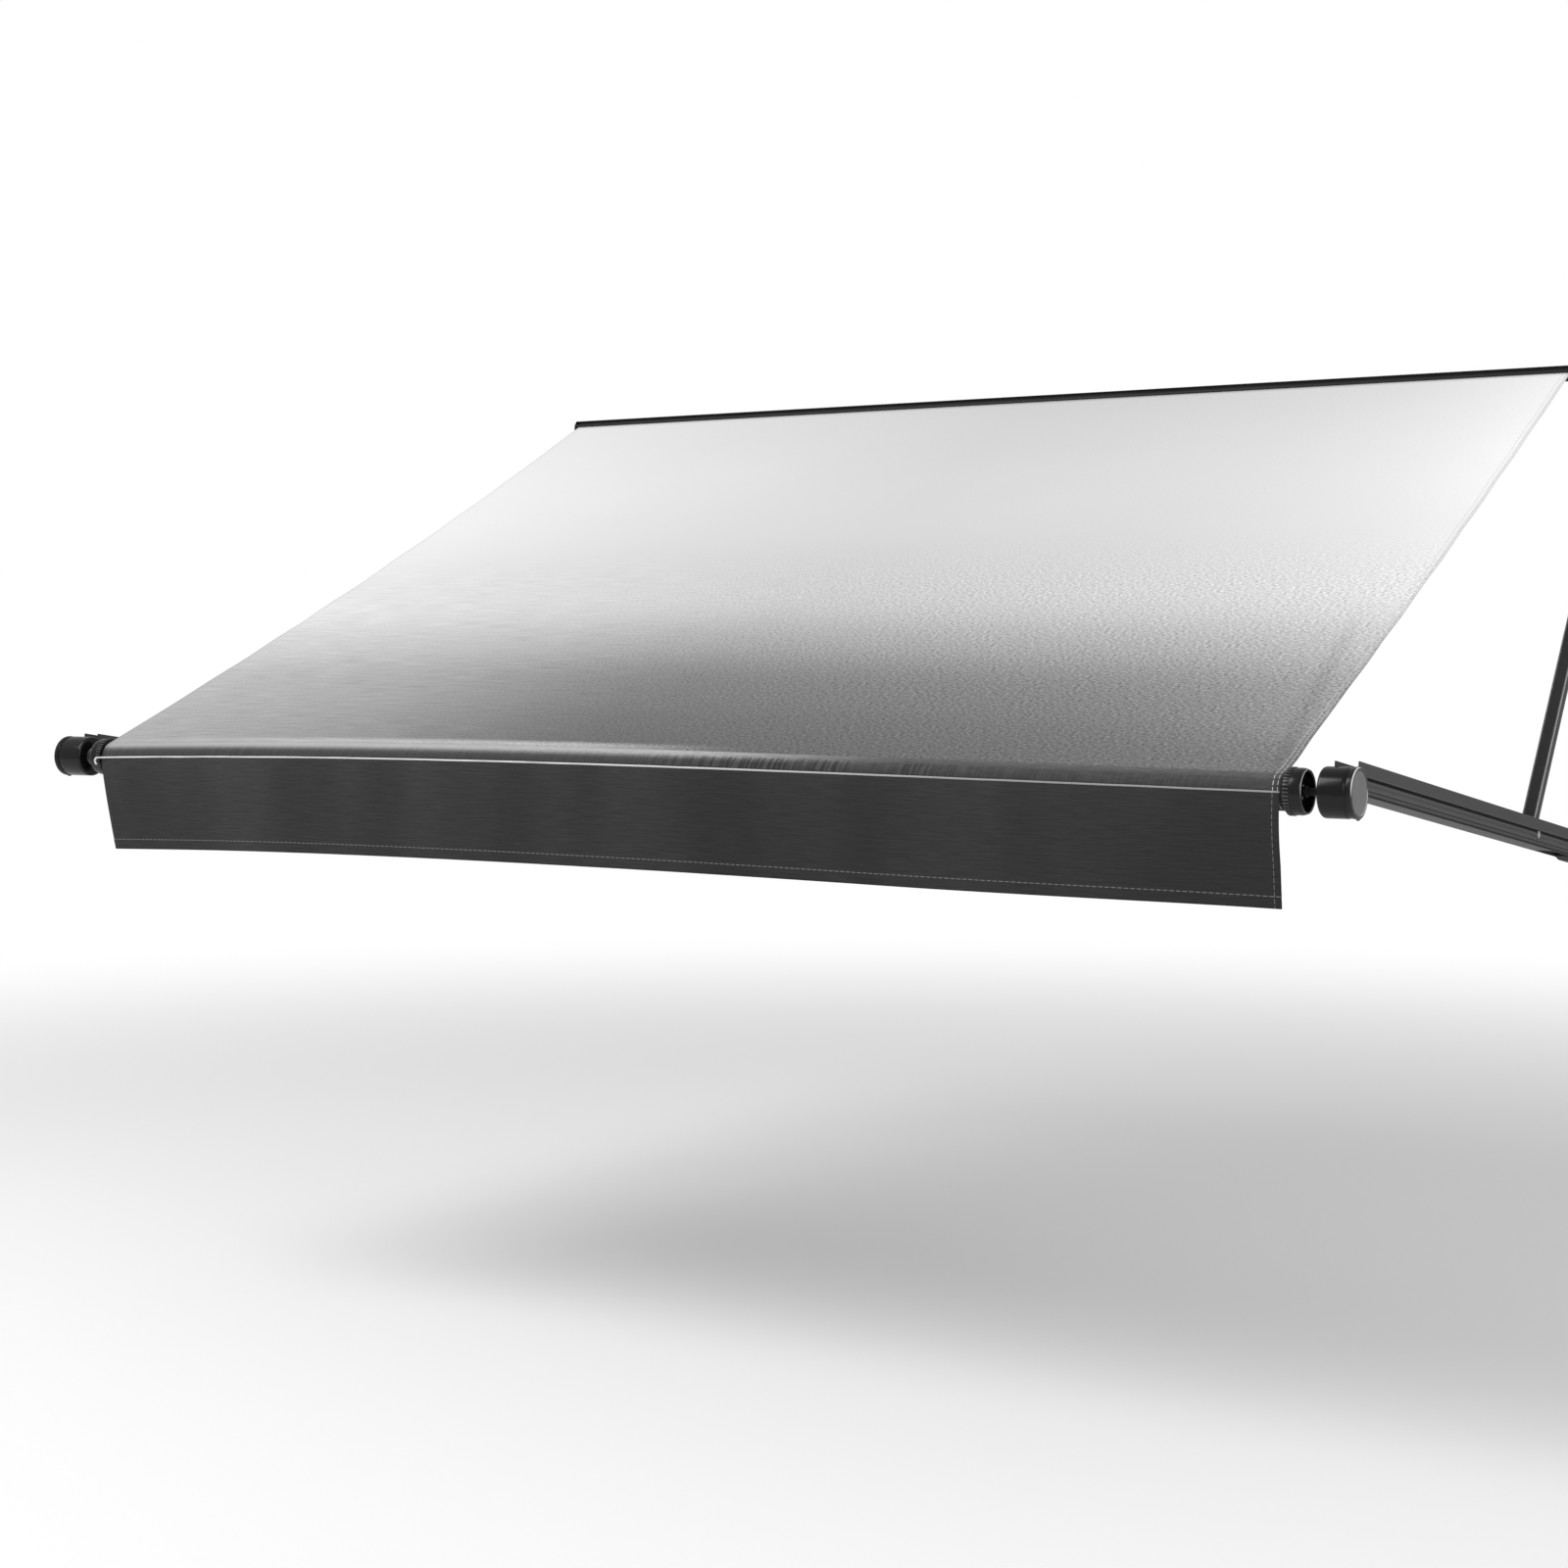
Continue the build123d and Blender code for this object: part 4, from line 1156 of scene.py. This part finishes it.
@dataclass
class Valance:
    """The valance and the pale piping that it hangs from."""

    roller: Roller
    width: float = 3.404
    drop: float = 0.248
    drop_extra: float = 0.0028
    drop_loss: float = 0.0065
    drop_loss_range: Pair = (0.85, 1.7)
    stand_off: float = 0.0011
    lean: float = 0.020
    lean_power: float = 1.6
    wave: Ripple = Ripple(0.0065, 1.15, 0.3, 1.7)
    wavelet: Ripple = Ripple(0.003, 3.1, 1.0, 6.3)
    wave_power: float = 1.25
    crinkle: Ripple = Ripple(0.0006, 14.0, 6.0, 4.4)
    hem: float = 0.025
    hem_step: float = 0.0007
    hem_slope: Pair = (0.002, -0.001)
    thickness: float = 0.0012
    tuck: dict[Side, float] = field(default_factory=lambda: {Side.LEFT: 0.036, Side.RIGHT: -0.002})
    tuck_range: dict[Side, Pair] = field(
        default_factory=lambda: {Side.LEFT: (1.2, 1.7), Side.RIGHT: (1.3, 1.7)})
    tuck_power: float = 1.1
    bite_left: float = 0.005
    bite_left_range: Pair = (1.5, 1.7)
    bite_right: float = 0.002
    bite_right_range: Pair = (1.62, 1.7)
    bite_run: float = 1.6
    keep: float = 0.06
    cord_end: float = 0.009
    cord_out: float = 0.0105
    cord_out_from: float = 1.68
    cord_sunk: float = 0.85
    cord_wobble: Ripple = Ripple(0.0004, 9.0, 1.0, 7.7)
    cord_steps: int = 160
    hook_radius: float = 0.009
    hook_swell: float = 1.25
    hook_turn: float = 165.0
    hook_steps: int = 16
    ring_corners: int = 12
    across: int = 260
    along: int = 44

    def drop_at(self, x: float) -> float:
        """Gives how far the lower edge hangs below the roll's axis, a little less at the right end."""
        return self.drop + self.drop_extra - self.drop_loss * step(x, *self.drop_loss_range)

    def shape(self, a: float, b: float) -> tuple[Point, Pair]:
        """Places one point of the valance.

        Args:
            a: Share across, 0 at the left.
            b: Share down, 0 at the seam.

        Returns:
            Its place and its UV.
        """
        r = self.roller
        x = (a - 0.5) * self.width
        radius = r.outer() + self.stand_off
        axis = r.height + r.lift(x)
        top = r.spot(x, r.seam, radius)[2]
        down = top + (axis - self.drop_at(x) - top) * b
        rise = down - axis
        front = r.out + (math.sqrt(radius ** 2 - rise ** 2) if 0 < rise < radius else radius)
        hang = max(0.0, -rise / self.drop)
        front -= self.lean * hang ** self.lean_power
        front += (self.wave.at(x, b) + self.wavelet.at(x, b)) * hang ** self.wave_power
        front += self.crinkle.at(x, b) * hang
        front += self.hem_step * step(b, *(1 - (self.hem + off) / self.drop for off in self.hem_slope))
        side = Side.LEFT if x < 0 else Side.RIGHT
        pull = self.tuck[side] * step(abs(x), *self.tuck_range[side])
        bite = self.bite_right * step(x, *self.bite_right_range)
        bite *= math.sin(math.pi * min(1.0, b * self.bite_run))
        bite += self.bite_left * step(-x, *self.bite_left_range)
        return (x + pull * b ** self.tuck_power - bite, -front, down), (a * self.width, b * self.drop)

    def build(self) -> tuple[bpy.types.Object, bpy.types.Object]:
        """Returns:
            Both objects.
        """
        cloth = ValanceCloth("valance_cloth_dark", self.drop, self.width)
        piece = to_object("valance_sheet", cloth_grid(self.across, self.along, self.shape), cloth.material())
        thicken(piece, self.thickness, -1.0)
        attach(piece, "roller_unit")
        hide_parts("valance")
        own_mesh(piece)
        return piece, self.piping()

    def ring(self, bm: Mesh, radius: float, place: Vector) -> list[bmesh.types.BMEdge]:
        """Lays a capped circle across the piping.

        Args:
            bm: The piping's mesh.
            radius: The circle's radius.
            place: Its middle.

        Returns:
            Its edges.
        """
        ring = bmesh.ops.create_circle(bm, segments=self.ring_corners, radius=radius)["verts"]
        bmesh.ops.rotate(bm, verts=ring, matrix=Matrix.Rotation(math.pi / 2, 3, "Y"), cent=(0, 0, 0))
        bmesh.ops.translate(bm, verts=ring, vec=place)
        edges = list({e for v in ring for e in v.link_edges})
        bmesh.ops.contextual_create(bm, geom=edges)
        return edges

    def hook(self, bm: Mesh, start: Vector) -> None:
        """Bends the piping's free left end down and back under itself.

        Args:
            bm: The piping's mesh.
            start: Where the straight piping ends.
        """
        edges = self.ring(bm, self.roller.piping_radius * self.hook_swell, start)
        middle = start - Vector((0, 0, self.hook_radius))
        turned = bmesh.ops.spin(bm, geom=edges, cent=middle, axis=(0, 1, 0), steps=self.hook_steps,
                                angle=-math.radians(self.hook_turn))["geom_last"]
        bmesh.ops.contextual_create(bm, geom=[e for e in turned if isinstance(e, bmesh.types.BMEdge)])

    def piping(self) -> bpy.types.Object:
        """Builds the piping: a circle drawn along the seam.

        Returns:
            The object.
        """
        r = self.roller
        left_end = self.width / 2 + self.cord_end
        radius = r.outer() + r.piping_radius * self.cord_sunk

        def middle(share: float) -> Vector:
            """Gives the piping's middle at a share of its length."""
            x = (share - 1) * left_end + share * self.width / 2
            spot = Vector(r.spot(x, r.seam, radius + self.cord_out * step(-x, self.cord_out_from, left_end)))
            spot.z += self.cord_wobble.at(x, 0.0)
            return spot

        bm = bmesh.new()
        edges = self.ring(bm, r.piping_radius, middle(0.0))
        for i in range(self.cord_steps):
            move = middle((i + 1) / self.cord_steps) - middle(i / self.cord_steps)
            grown = bmesh.ops.extrude_edge_only(bm, edges=edges)["geom"]
            ring = [g for g in grown if isinstance(g, bmesh.types.BMVert)]
            edges = [g for g in grown if isinstance(g, bmesh.types.BMEdge)]
            bmesh.ops.translate(bm, verts=ring, vec=move)
        bmesh.ops.contextual_create(bm, geom=edges)
        self.hook(bm, middle(0.0))
        bmesh.ops.recalc_face_normals(bm, faces=bm.faces)
        piece = to_object("valance_piping_cord", bm, WornCord("pale_piping", dull_from=-0.3).material())
        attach(piece, "roller_unit")
        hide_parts("valance_piping")
        return piece


def rounded_path(corners: Corners, parts: int = 5) -> list[Vector]:
    """Rounds the corners of a path.

    Args:
        corners: Place outward, radius and rounding of each corner, in millimetres.
        parts: Steps in each rounding.

    Returns:
        The path's points in metres.
    """
    path: list[Vector] = []
    spots = [Vector(corner[:2]) * MILLIMETRE for corner in corners]
    for i, here in enumerate(spots):
        rounding = corners[i][2]
        if rounding == 0.0 or i in (0, len(corners) - 1):
            path.append(here)
            continue
        a = here + (spots[i - 1] - here).normalized() * rounding * MILLIMETRE
        c = here + (spots[i + 1] - here).normalized() * rounding * MILLIMETRE
        for t in (k / parts for k in range(parts + 1)):
            path.append(a * (1 - t) ** 2 + here * 2 * t * (1 - t) + c * t * t)
    return path


@dataclass
class Lathe:
    """Turns round pieces about the roller's axis at one side."""

    roller: Roller
    side: Side
    steps: int = 96
    merge: float = 0.00002

    def mesh(self, corners: Corners, closed: bool = True) -> Mesh:
        """Spins a path round the axis.

        Args:
            corners: Place outward from the canopy's edge, radius and rounding of each, in millimetres.
            closed: Whether the path runs back to its start.

        Returns:
            The mesh.
        """
        r = self.roller
        bm = bmesh.new()
        spots = [bm.verts.new((self.side.value * (r.half_width + out), -r.out, r.height + up))
                 for out, up in rounded_path(corners)]
        edges = [bm.edges.new(pair) for pair in zip(spots, spots[1:])]
        if closed:
            edges.append(bm.edges.new((spots[-1], spots[0])))
        bmesh.ops.spin(bm, geom=spots + edges, cent=(0, -r.out, r.height), axis=(1, 0, 0),
                       angle=2 * math.pi, steps=self.steps, use_merge=True)
        bmesh.ops.remove_doubles(bm, verts=bm.verts, dist=self.merge)
        bmesh.ops.recalc_face_normals(bm, faces=bm.faces)
        return bm


@dataclass
class Head:
    """The round parts at one end of the roller: drum and disc on the arm, ribbed collar on the roller.

    Sections are rows of a place outward from the canopy's edge, a radius and a rounding, in millimetres.
    """

    roller: Roller
    side: Side
    drum_end: float
    drum_start: float = 78.0
    collar: Corners = (
        (4, 39.1, 0), (4, 48.6, 1), (18, 48.6, 0), (18, 49.6, 0.8), (34, 49.6, 0), (43, 47.4, 4),
        (43, 42.4, 2), (20, 41.6, 0), (20, 13, 0), (30, 13, 1), (30, 8.2, 0), (16, 8.2, 0), (16, 39.1, 0),
    )
    lip: Corners = ((42.6, 43.0, 0), (43.8, 43.4, 0.4), (43.8, 46.4, 0.4), (42.6, 46.8, 0))
    ribs: int = 40
    rib_size: Point = (0.0130, 0.0036, 0.0048)
    rib_bevel: float = 0.0008
    rib_place: Pair = (0.0112, 0.0489)
    rivets: int = 8
    rivet_radius: float = 0.0034
    rivet_shape: Point = (0.5, 1.0, 1.0)
    rivet_place: Pair = (0.0203, 0.031)
    rivet_turn: float = 0.4
    crease: float = 40.0

    def piece(self, name: str, bm: Mesh, finish: object, body: str, slot: str,
              node: str | None = None) -> bpy.types.Object:
        """Finishes one part.

        Args:
            name: The part's name after the side.
            bm: Its mesh.
            finish: Its finish.
            body: The body that it moves with.
            slot: Its material slot; not used.
            node: The CAD node that it takes the place of.

        Returns:
            The object.
        """
        made = to_object(f"{self.side.name.lower()}_{name}", bm, finish.material())
        made.data.set_sharp_from_angle(angle=math.radians(self.crease))
        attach(made, body)
        if node:
            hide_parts(node)
        LOG.info("built %s", made.name)
        return made

    def build(self) -> None:
        """Builds the head's round parts."""
        hand = self.side.name.lower()
        arm = f"{hand}_arm_unit"
        lathe = Lathe(self.roller, self.side)
        end, start = self.drum_end, self.drum_start
        drum = lathe.mesh((
            (start, 24, 0), (start, 54, 8), (end - 15, 54, 2), (end - 9, 51, 1), (end - 7, 51, 0),
            (end - 7, 53.6, 1), (end, 53.6, 0), (end, 50, 0), (start + 5, 50, 4), (start + 5, 24, 0),
        ))
        self.piece("drum_shell", drum, HEAD_PLASTIC, arm, "black_plastic", f"{hand}_head_drum")
        disc = lathe.mesh((
            (end + 2, 0, 0), (end + 2, 47.2, 0), (end + 5.5, 47.2, 1.2), (end + 5.5, 20, 0),
            (end + 5.5, 0, 0),
        ), closed=False)
        self.piece("disc_plate", disc, DISC_PLASTIC, arm, "disc_grey", f"{hand}_head_disc")
        rim = lathe.mesh((
            (end + 3.4, 47.6, 0), (end + 3.4, 54.5, 0.6), (end + 4.0, 54.5, 0.3), (end + 6, 51.4, 0.5),
            (end + 6, 47.6, 0.6), (end + 4.4, 47.6, 0),
        ))
        self.piece("cover_rim", rim, RIM_PLASTIC, arm, "black_plastic")
        self.piece("ribbed_collar", lathe.mesh(self.collar), HEAD_PLASTIC, "roller_unit", "black_plastic",
                   f"{hand}_collar")
        self.piece("collar_ribs", self.rib_ring(), RIB_PLASTIC, "roller_unit", "black_plastic")
        self.piece("collar_lip", lathe.mesh(self.lip), LIP_PLASTIC, "roller_unit", "black_plastic")
        self.piece("collar_rivets", self.rivet_ring(), RIVET_PAINTED_GLINT, "roller_unit", "bright_steel")

    def rib_ring(self) -> Mesh:
        """Builds the ribs round the collar.

        Returns:
            Their mesh.
        """
        bm = bmesh.new()
        for i in range(self.ribs):
            block = bmesh.ops.create_cube(bm, size=1.0)["verts"]
            bmesh.ops.scale(bm, verts=block, vec=self.rib_size)
            edges = list({e for v in block for e in v.link_edges})
            block = bmesh.ops.bevel(bm, geom=edges, affect="EDGES", offset=self.rib_bevel, segments=2,
                                    profile=0.5, material=-1)["verts"]
            self.round_the_axis(bm, block, *self.rib_place, i / self.ribs)
        return bm

    def rivet_ring(self) -> Mesh:
        """Builds the rivets in the collar's opening.

        Returns:
            Their mesh.
        """
        bm = bmesh.new()
        for i in range(self.rivets):
            head = bmesh.ops.create_uvsphere(bm, u_segments=16, v_segments=10,
                                             radius=self.rivet_radius)["verts"]
            bmesh.ops.scale(bm, verts=head, vec=self.rivet_shape)
            self.round_the_axis(bm, head, *self.rivet_place, (i + self.rivet_turn) / self.rivets)
        return bm

    def round_the_axis(self, bm: Mesh, verts: list[bmesh.types.BMVert], outward: float, radius: float,
                       turn: float) -> None:
        """Moves a detail made at the origin to its place round the axis.

        Args:
            bm: The mesh.
            verts: The detail's corners.
            outward: Distance outward from the canopy's edge.
            radius: Distance from the axis.
            turn: Share of a full turn.
        """
        r = self.roller
        bmesh.ops.translate(bm, verts=verts, vec=(self.side.value * (r.half_width + outward), 0, radius))
        bmesh.ops.rotate(bm, verts=verts, matrix=Matrix.Rotation(2 * math.pi * turn, 3, "X"), cent=(0, 0, 0))
        bmesh.ops.translate(bm, verts=verts, vec=(0, -r.out, r.height))


@dataclass
class BentTube:
    """The roller tube, bent a little by the cloth's pull."""

    roller: Roller
    cuts: int = 40
    crease: float = 30.0

    def build(self, frame: dict, finish: object) -> bpy.types.Object:
        """Cuts a copy of the frame's tube across, bends it and gives it its finish.

        Args:
            frame: The loaded frame.
            finish: The tube's finish.

        Returns:
            The object.
        """
        node = frame["nodes"]["roller_tube"]
        bm = bmesh.new()
        bm.from_mesh(node.data)
        bm.transform(node.matrix_world)
        bmesh.ops.remove_doubles(bm, verts=bm.verts, dist=MERGE_DISTANCE)
        for i in range(self.cuts + 1):
            x = self.roller.half_width * (2 * i / self.cuts - 1)
            geom = bm.verts[:] + bm.edges[:] + bm.faces[:]
            bmesh.ops.bisect_plane(bm, geom=geom, plane_co=(x, 0, 0), plane_no=(1, 0, 0))
        for vert in bm.verts:
            vert.co.z += self.roller.lift(vert.co.x)
        piece = to_object("bent_roller_tube", bm, finish.material())
        piece.data.set_sharp_from_angle(angle=math.radians(self.crease))
        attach(piece, "roller_unit")
        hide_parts("roller_tube")
        return piece


@dataclass
class Hardware:
    """The rail, arms, heads and pins: CAD nodes that keep their shape and get their finish by slot."""

    finishes: dict[str, object] = field(default_factory=lambda: {
        "rail_black": PowderCoat("rail_coat", (0.006, 0.006, 0.007), roughness=0.5, shine=0.25),
        "arm_anthracite": PowderCoat("channel_coat", (0.030, 0.030, 0.032), roughness=0.45, wear=0.6),
        # The arm's bands and its lighter underside, and the strut's lighter side walls, are painted light
        # and shade.
        "arm": ChannelCoat(
            "arm_coat", (0.034, 0.034, 0.036), roughness=0.5, shine=0.04, bands=ARM_LIGHT_AND_SHADE_BANDS,
            up=(0.0, 0.14263, 0.98978), low=-1.3897, high=-1.3207, under=0.15,
        ),
        # The strut's pale line along its edges is a painted highlight.
        "strut": ChannelCoat(
            "strut_coat", (0.024, 0.024, 0.025), roughness=0.5, shine=0.3, bands=STRUT_LIT_SIDE_BANDS,
            edge=0.0060, painted_edge_highlight=1.0, rubbed_and_highlit=(0.75, 0.75, 0.76),
        ),
        "black_plastic": HEAD_PLASTIC,
        "black_casting": PowderCoat("neck_casting", (0.016, 0.016, 0.017), roughness=0.5, skin=700.0),
        "bright_steel": BareMetal("bright_steel", (0.62, 0.61, 0.60), roughness=0.28),
        "tube_aluminium": BareMetal("tube_aluminium", (0.66, 0.66, 0.67), roughness=0.36),
        "motor_zinc": BareMetal("motor_zinc", (0.50, 0.51, 0.53), roughness=0.4),
        "bearing_plastic": MouldedPlastic("bearing_plastic", (0.45, 0.44, 0.41)),
        "white_cord": WornCord("bead_cord"),
    })

    special: dict[str, str] = field(default_factory=lambda: {
        "_arm": "arm", "_strut": "strut", "_shaft": "rail_black", "rail_screws": "rail_black",
        "_neck_bolts": "arm", "_arm_foot": "rail_black",
    })

    def finish_of(self, name: str, slot: str) -> str:
        """Gives the finish of a node: a special one by the end of its name, or its slot's."""
        return next((finish for tail, finish in self.special.items() if name.endswith(tail)), slot)

    def dress(self, frame: dict) -> None:
        """Gives each CAD node of the frame that shows its finish.

        Args:
            frame: The loaded frame.
        """
        made: dict[str, bpy.types.Material] = {}
        by_node = {row["node"]: row["material_slot"] for row in frame["record"]["subparts"]}
        for name, node in sorted(frame["nodes"].items()):
            if node.hide_render:
                continue
            slot = self.finish_of(name, by_node[name])
            if slot not in made:
                made[slot] = self.finishes[slot].material()
            for holder in node.material_slots:
                holder.material = made[slot]
            LOG.info("dressed %s as %s", name, slot)


@dataclass(frozen=True)
class Lamp:
    """A soft square lamp."""

    name: str
    place: Point
    aim: Point
    size: float
    power: float

    def hang(self) -> None:
        """Hangs the lamp."""
        data = bpy.data.lights.new(self.name, "AREA")
        data.size = self.size
        data.energy = self.power
        made = bpy.data.objects.new(self.name, data)
        made.location = self.place
        made.rotation_euler = (Vector(self.aim) - Vector(self.place)).to_track_quat("-Z", "Y").to_euler()
        bpy.context.scene.collection.objects.link(made)


@dataclass
class Studio:
    """The camera, the floor and the light."""

    place: Point = (3.686, -7.4066, -0.7951)
    turn: float = 31.661
    lens: float = 60.393
    sensor: float = 36.0
    shift: float = -0.0842
    sight: float = 200.0
    sky_strength: float = 0.55
    floor_height: float = -2.55
    floor_size: float = 60.0
    floor_tone: float = 0.93
    floor_fade: Pair = (3.5, 9.0)
    floor_rough: float = 0.9
    lamps: tuple[Lamp, ...] = (
        Lamp("key", (-3.5, -6.0, 5.0), (0.0, -1.2, -0.6), 4.5, 420.0),
        Lamp("fill", (6.5, -5.5, 1.5), (0.5, -1.0, -1.0), 4.0, 140.0),
    )

    def camera(self) -> None:
        """Places the camera."""
        data = bpy.data.cameras.new("view")
        data.sensor_fit = "AUTO"
        data.sensor_width = self.sensor
        data.lens = self.lens
        data.shift_y = self.shift
        data.clip_end = self.sight
        made = bpy.data.objects.new("view", data)
        made.location = self.place
        made.rotation_euler = (math.radians(90), 0.0, math.radians(self.turn))
        bpy.context.scene.collection.objects.link(made)
        bpy.context.scene.camera = made

    def world(self) -> None:
        """Gives an even pale sky that shows white behind the object."""
        sky = bpy.data.worlds.new("sky")
        bpy.context.scene.world = sky
        sky.use_nodes = True
        tree = sky.node_tree
        tree.nodes.clear()
        out = tree.nodes.new("ShaderNodeOutputWorld")
        rays = tree.nodes.new("ShaderNodeLightPath")
        mixed = tree.nodes.new("ShaderNodeMixShader")
        tree.links.new(rays.outputs["Is Camera Ray"], mixed.inputs[0])
        for number, strength in enumerate((self.sky_strength, 1.0), start=1):
            shown = tree.nodes.new("ShaderNodeBackground")
            shown.inputs["Color"].default_value = rgba(WHITE)
            shown.inputs["Strength"].default_value = strength
            tree.links.new(shown.outputs[0], mixed.inputs[number])
        tree.links.new(mixed.outputs[0], out.inputs["Surface"])

    def floor(self) -> None:
        """Lays a plain pale floor that fades into the white background."""
        bm = bmesh.new()
        bmesh.ops.create_grid(bm, x_segments=4, y_segments=4, size=self.floor_size)
        bmesh.ops.translate(bm, verts=bm.verts, vec=(0, 0, self.floor_height))
        g = Graph("pale_floor")
        g.finish(Base_Color=even(self.floor_tone), Roughness=self.floor_rough, Specular_IOR_Level=0.0)
        away = g.vector("DISTANCE", g.place(Space.SOLID), (0.0, -1.0, self.floor_height))
        seen = g.node("ShaderNodeLightPath").outputs["Is Camera Ray"]
        share = g.times(g.spread(away, *self.floor_fade), seen)
        glow = g.node("ShaderNodeEmission", {"Color": rgba(WHITE), "Strength": 1.0})
        mixed = g.node("ShaderNodeMixShader", {0: share, 1: g.shader.outputs[0], 2: glow.outputs[0]})
        g.feed(g.tree.nodes["Material Output"].inputs["Surface"], mixed.outputs[0])
        piece = to_object("floor", bm, g.material, smooth=False)

    def build(self) -> None:
        """Sets up everything round the object."""
        self.camera()
        self.world()
        self.floor()
        for lamp in self.lamps:
            lamp.hang()
        bpy.context.scene.view_settings.view_transform = "Standard"


def main() -> None:
    """Builds the awning in order."""
    logging.basicConfig(level=logging.INFO, format="%(name)s: %(message)s")
    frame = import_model()
    Studio().build()
    roller = Roller()
    canopy = Canopy(roller)
    LOG.info("built %s", canopy.build().name)
    LOG.info("built %s", WoundCloth(roller, canopy).build().name)
    for piece in Valance(roller).build():
        LOG.info("built %s", piece.name)
    for side, drum_end in ((Side.LEFT, 169.0), (Side.RIGHT, 148.2)):
        Head(roller, side, drum_end).build()
    hardware = Hardware()
    LOG.info("built %s", BentTube(roller).build(frame, hardware.finishes["tube_aluminium"]).name)
    hardware.dress(frame)


if __name__ == "__main__":
    main()
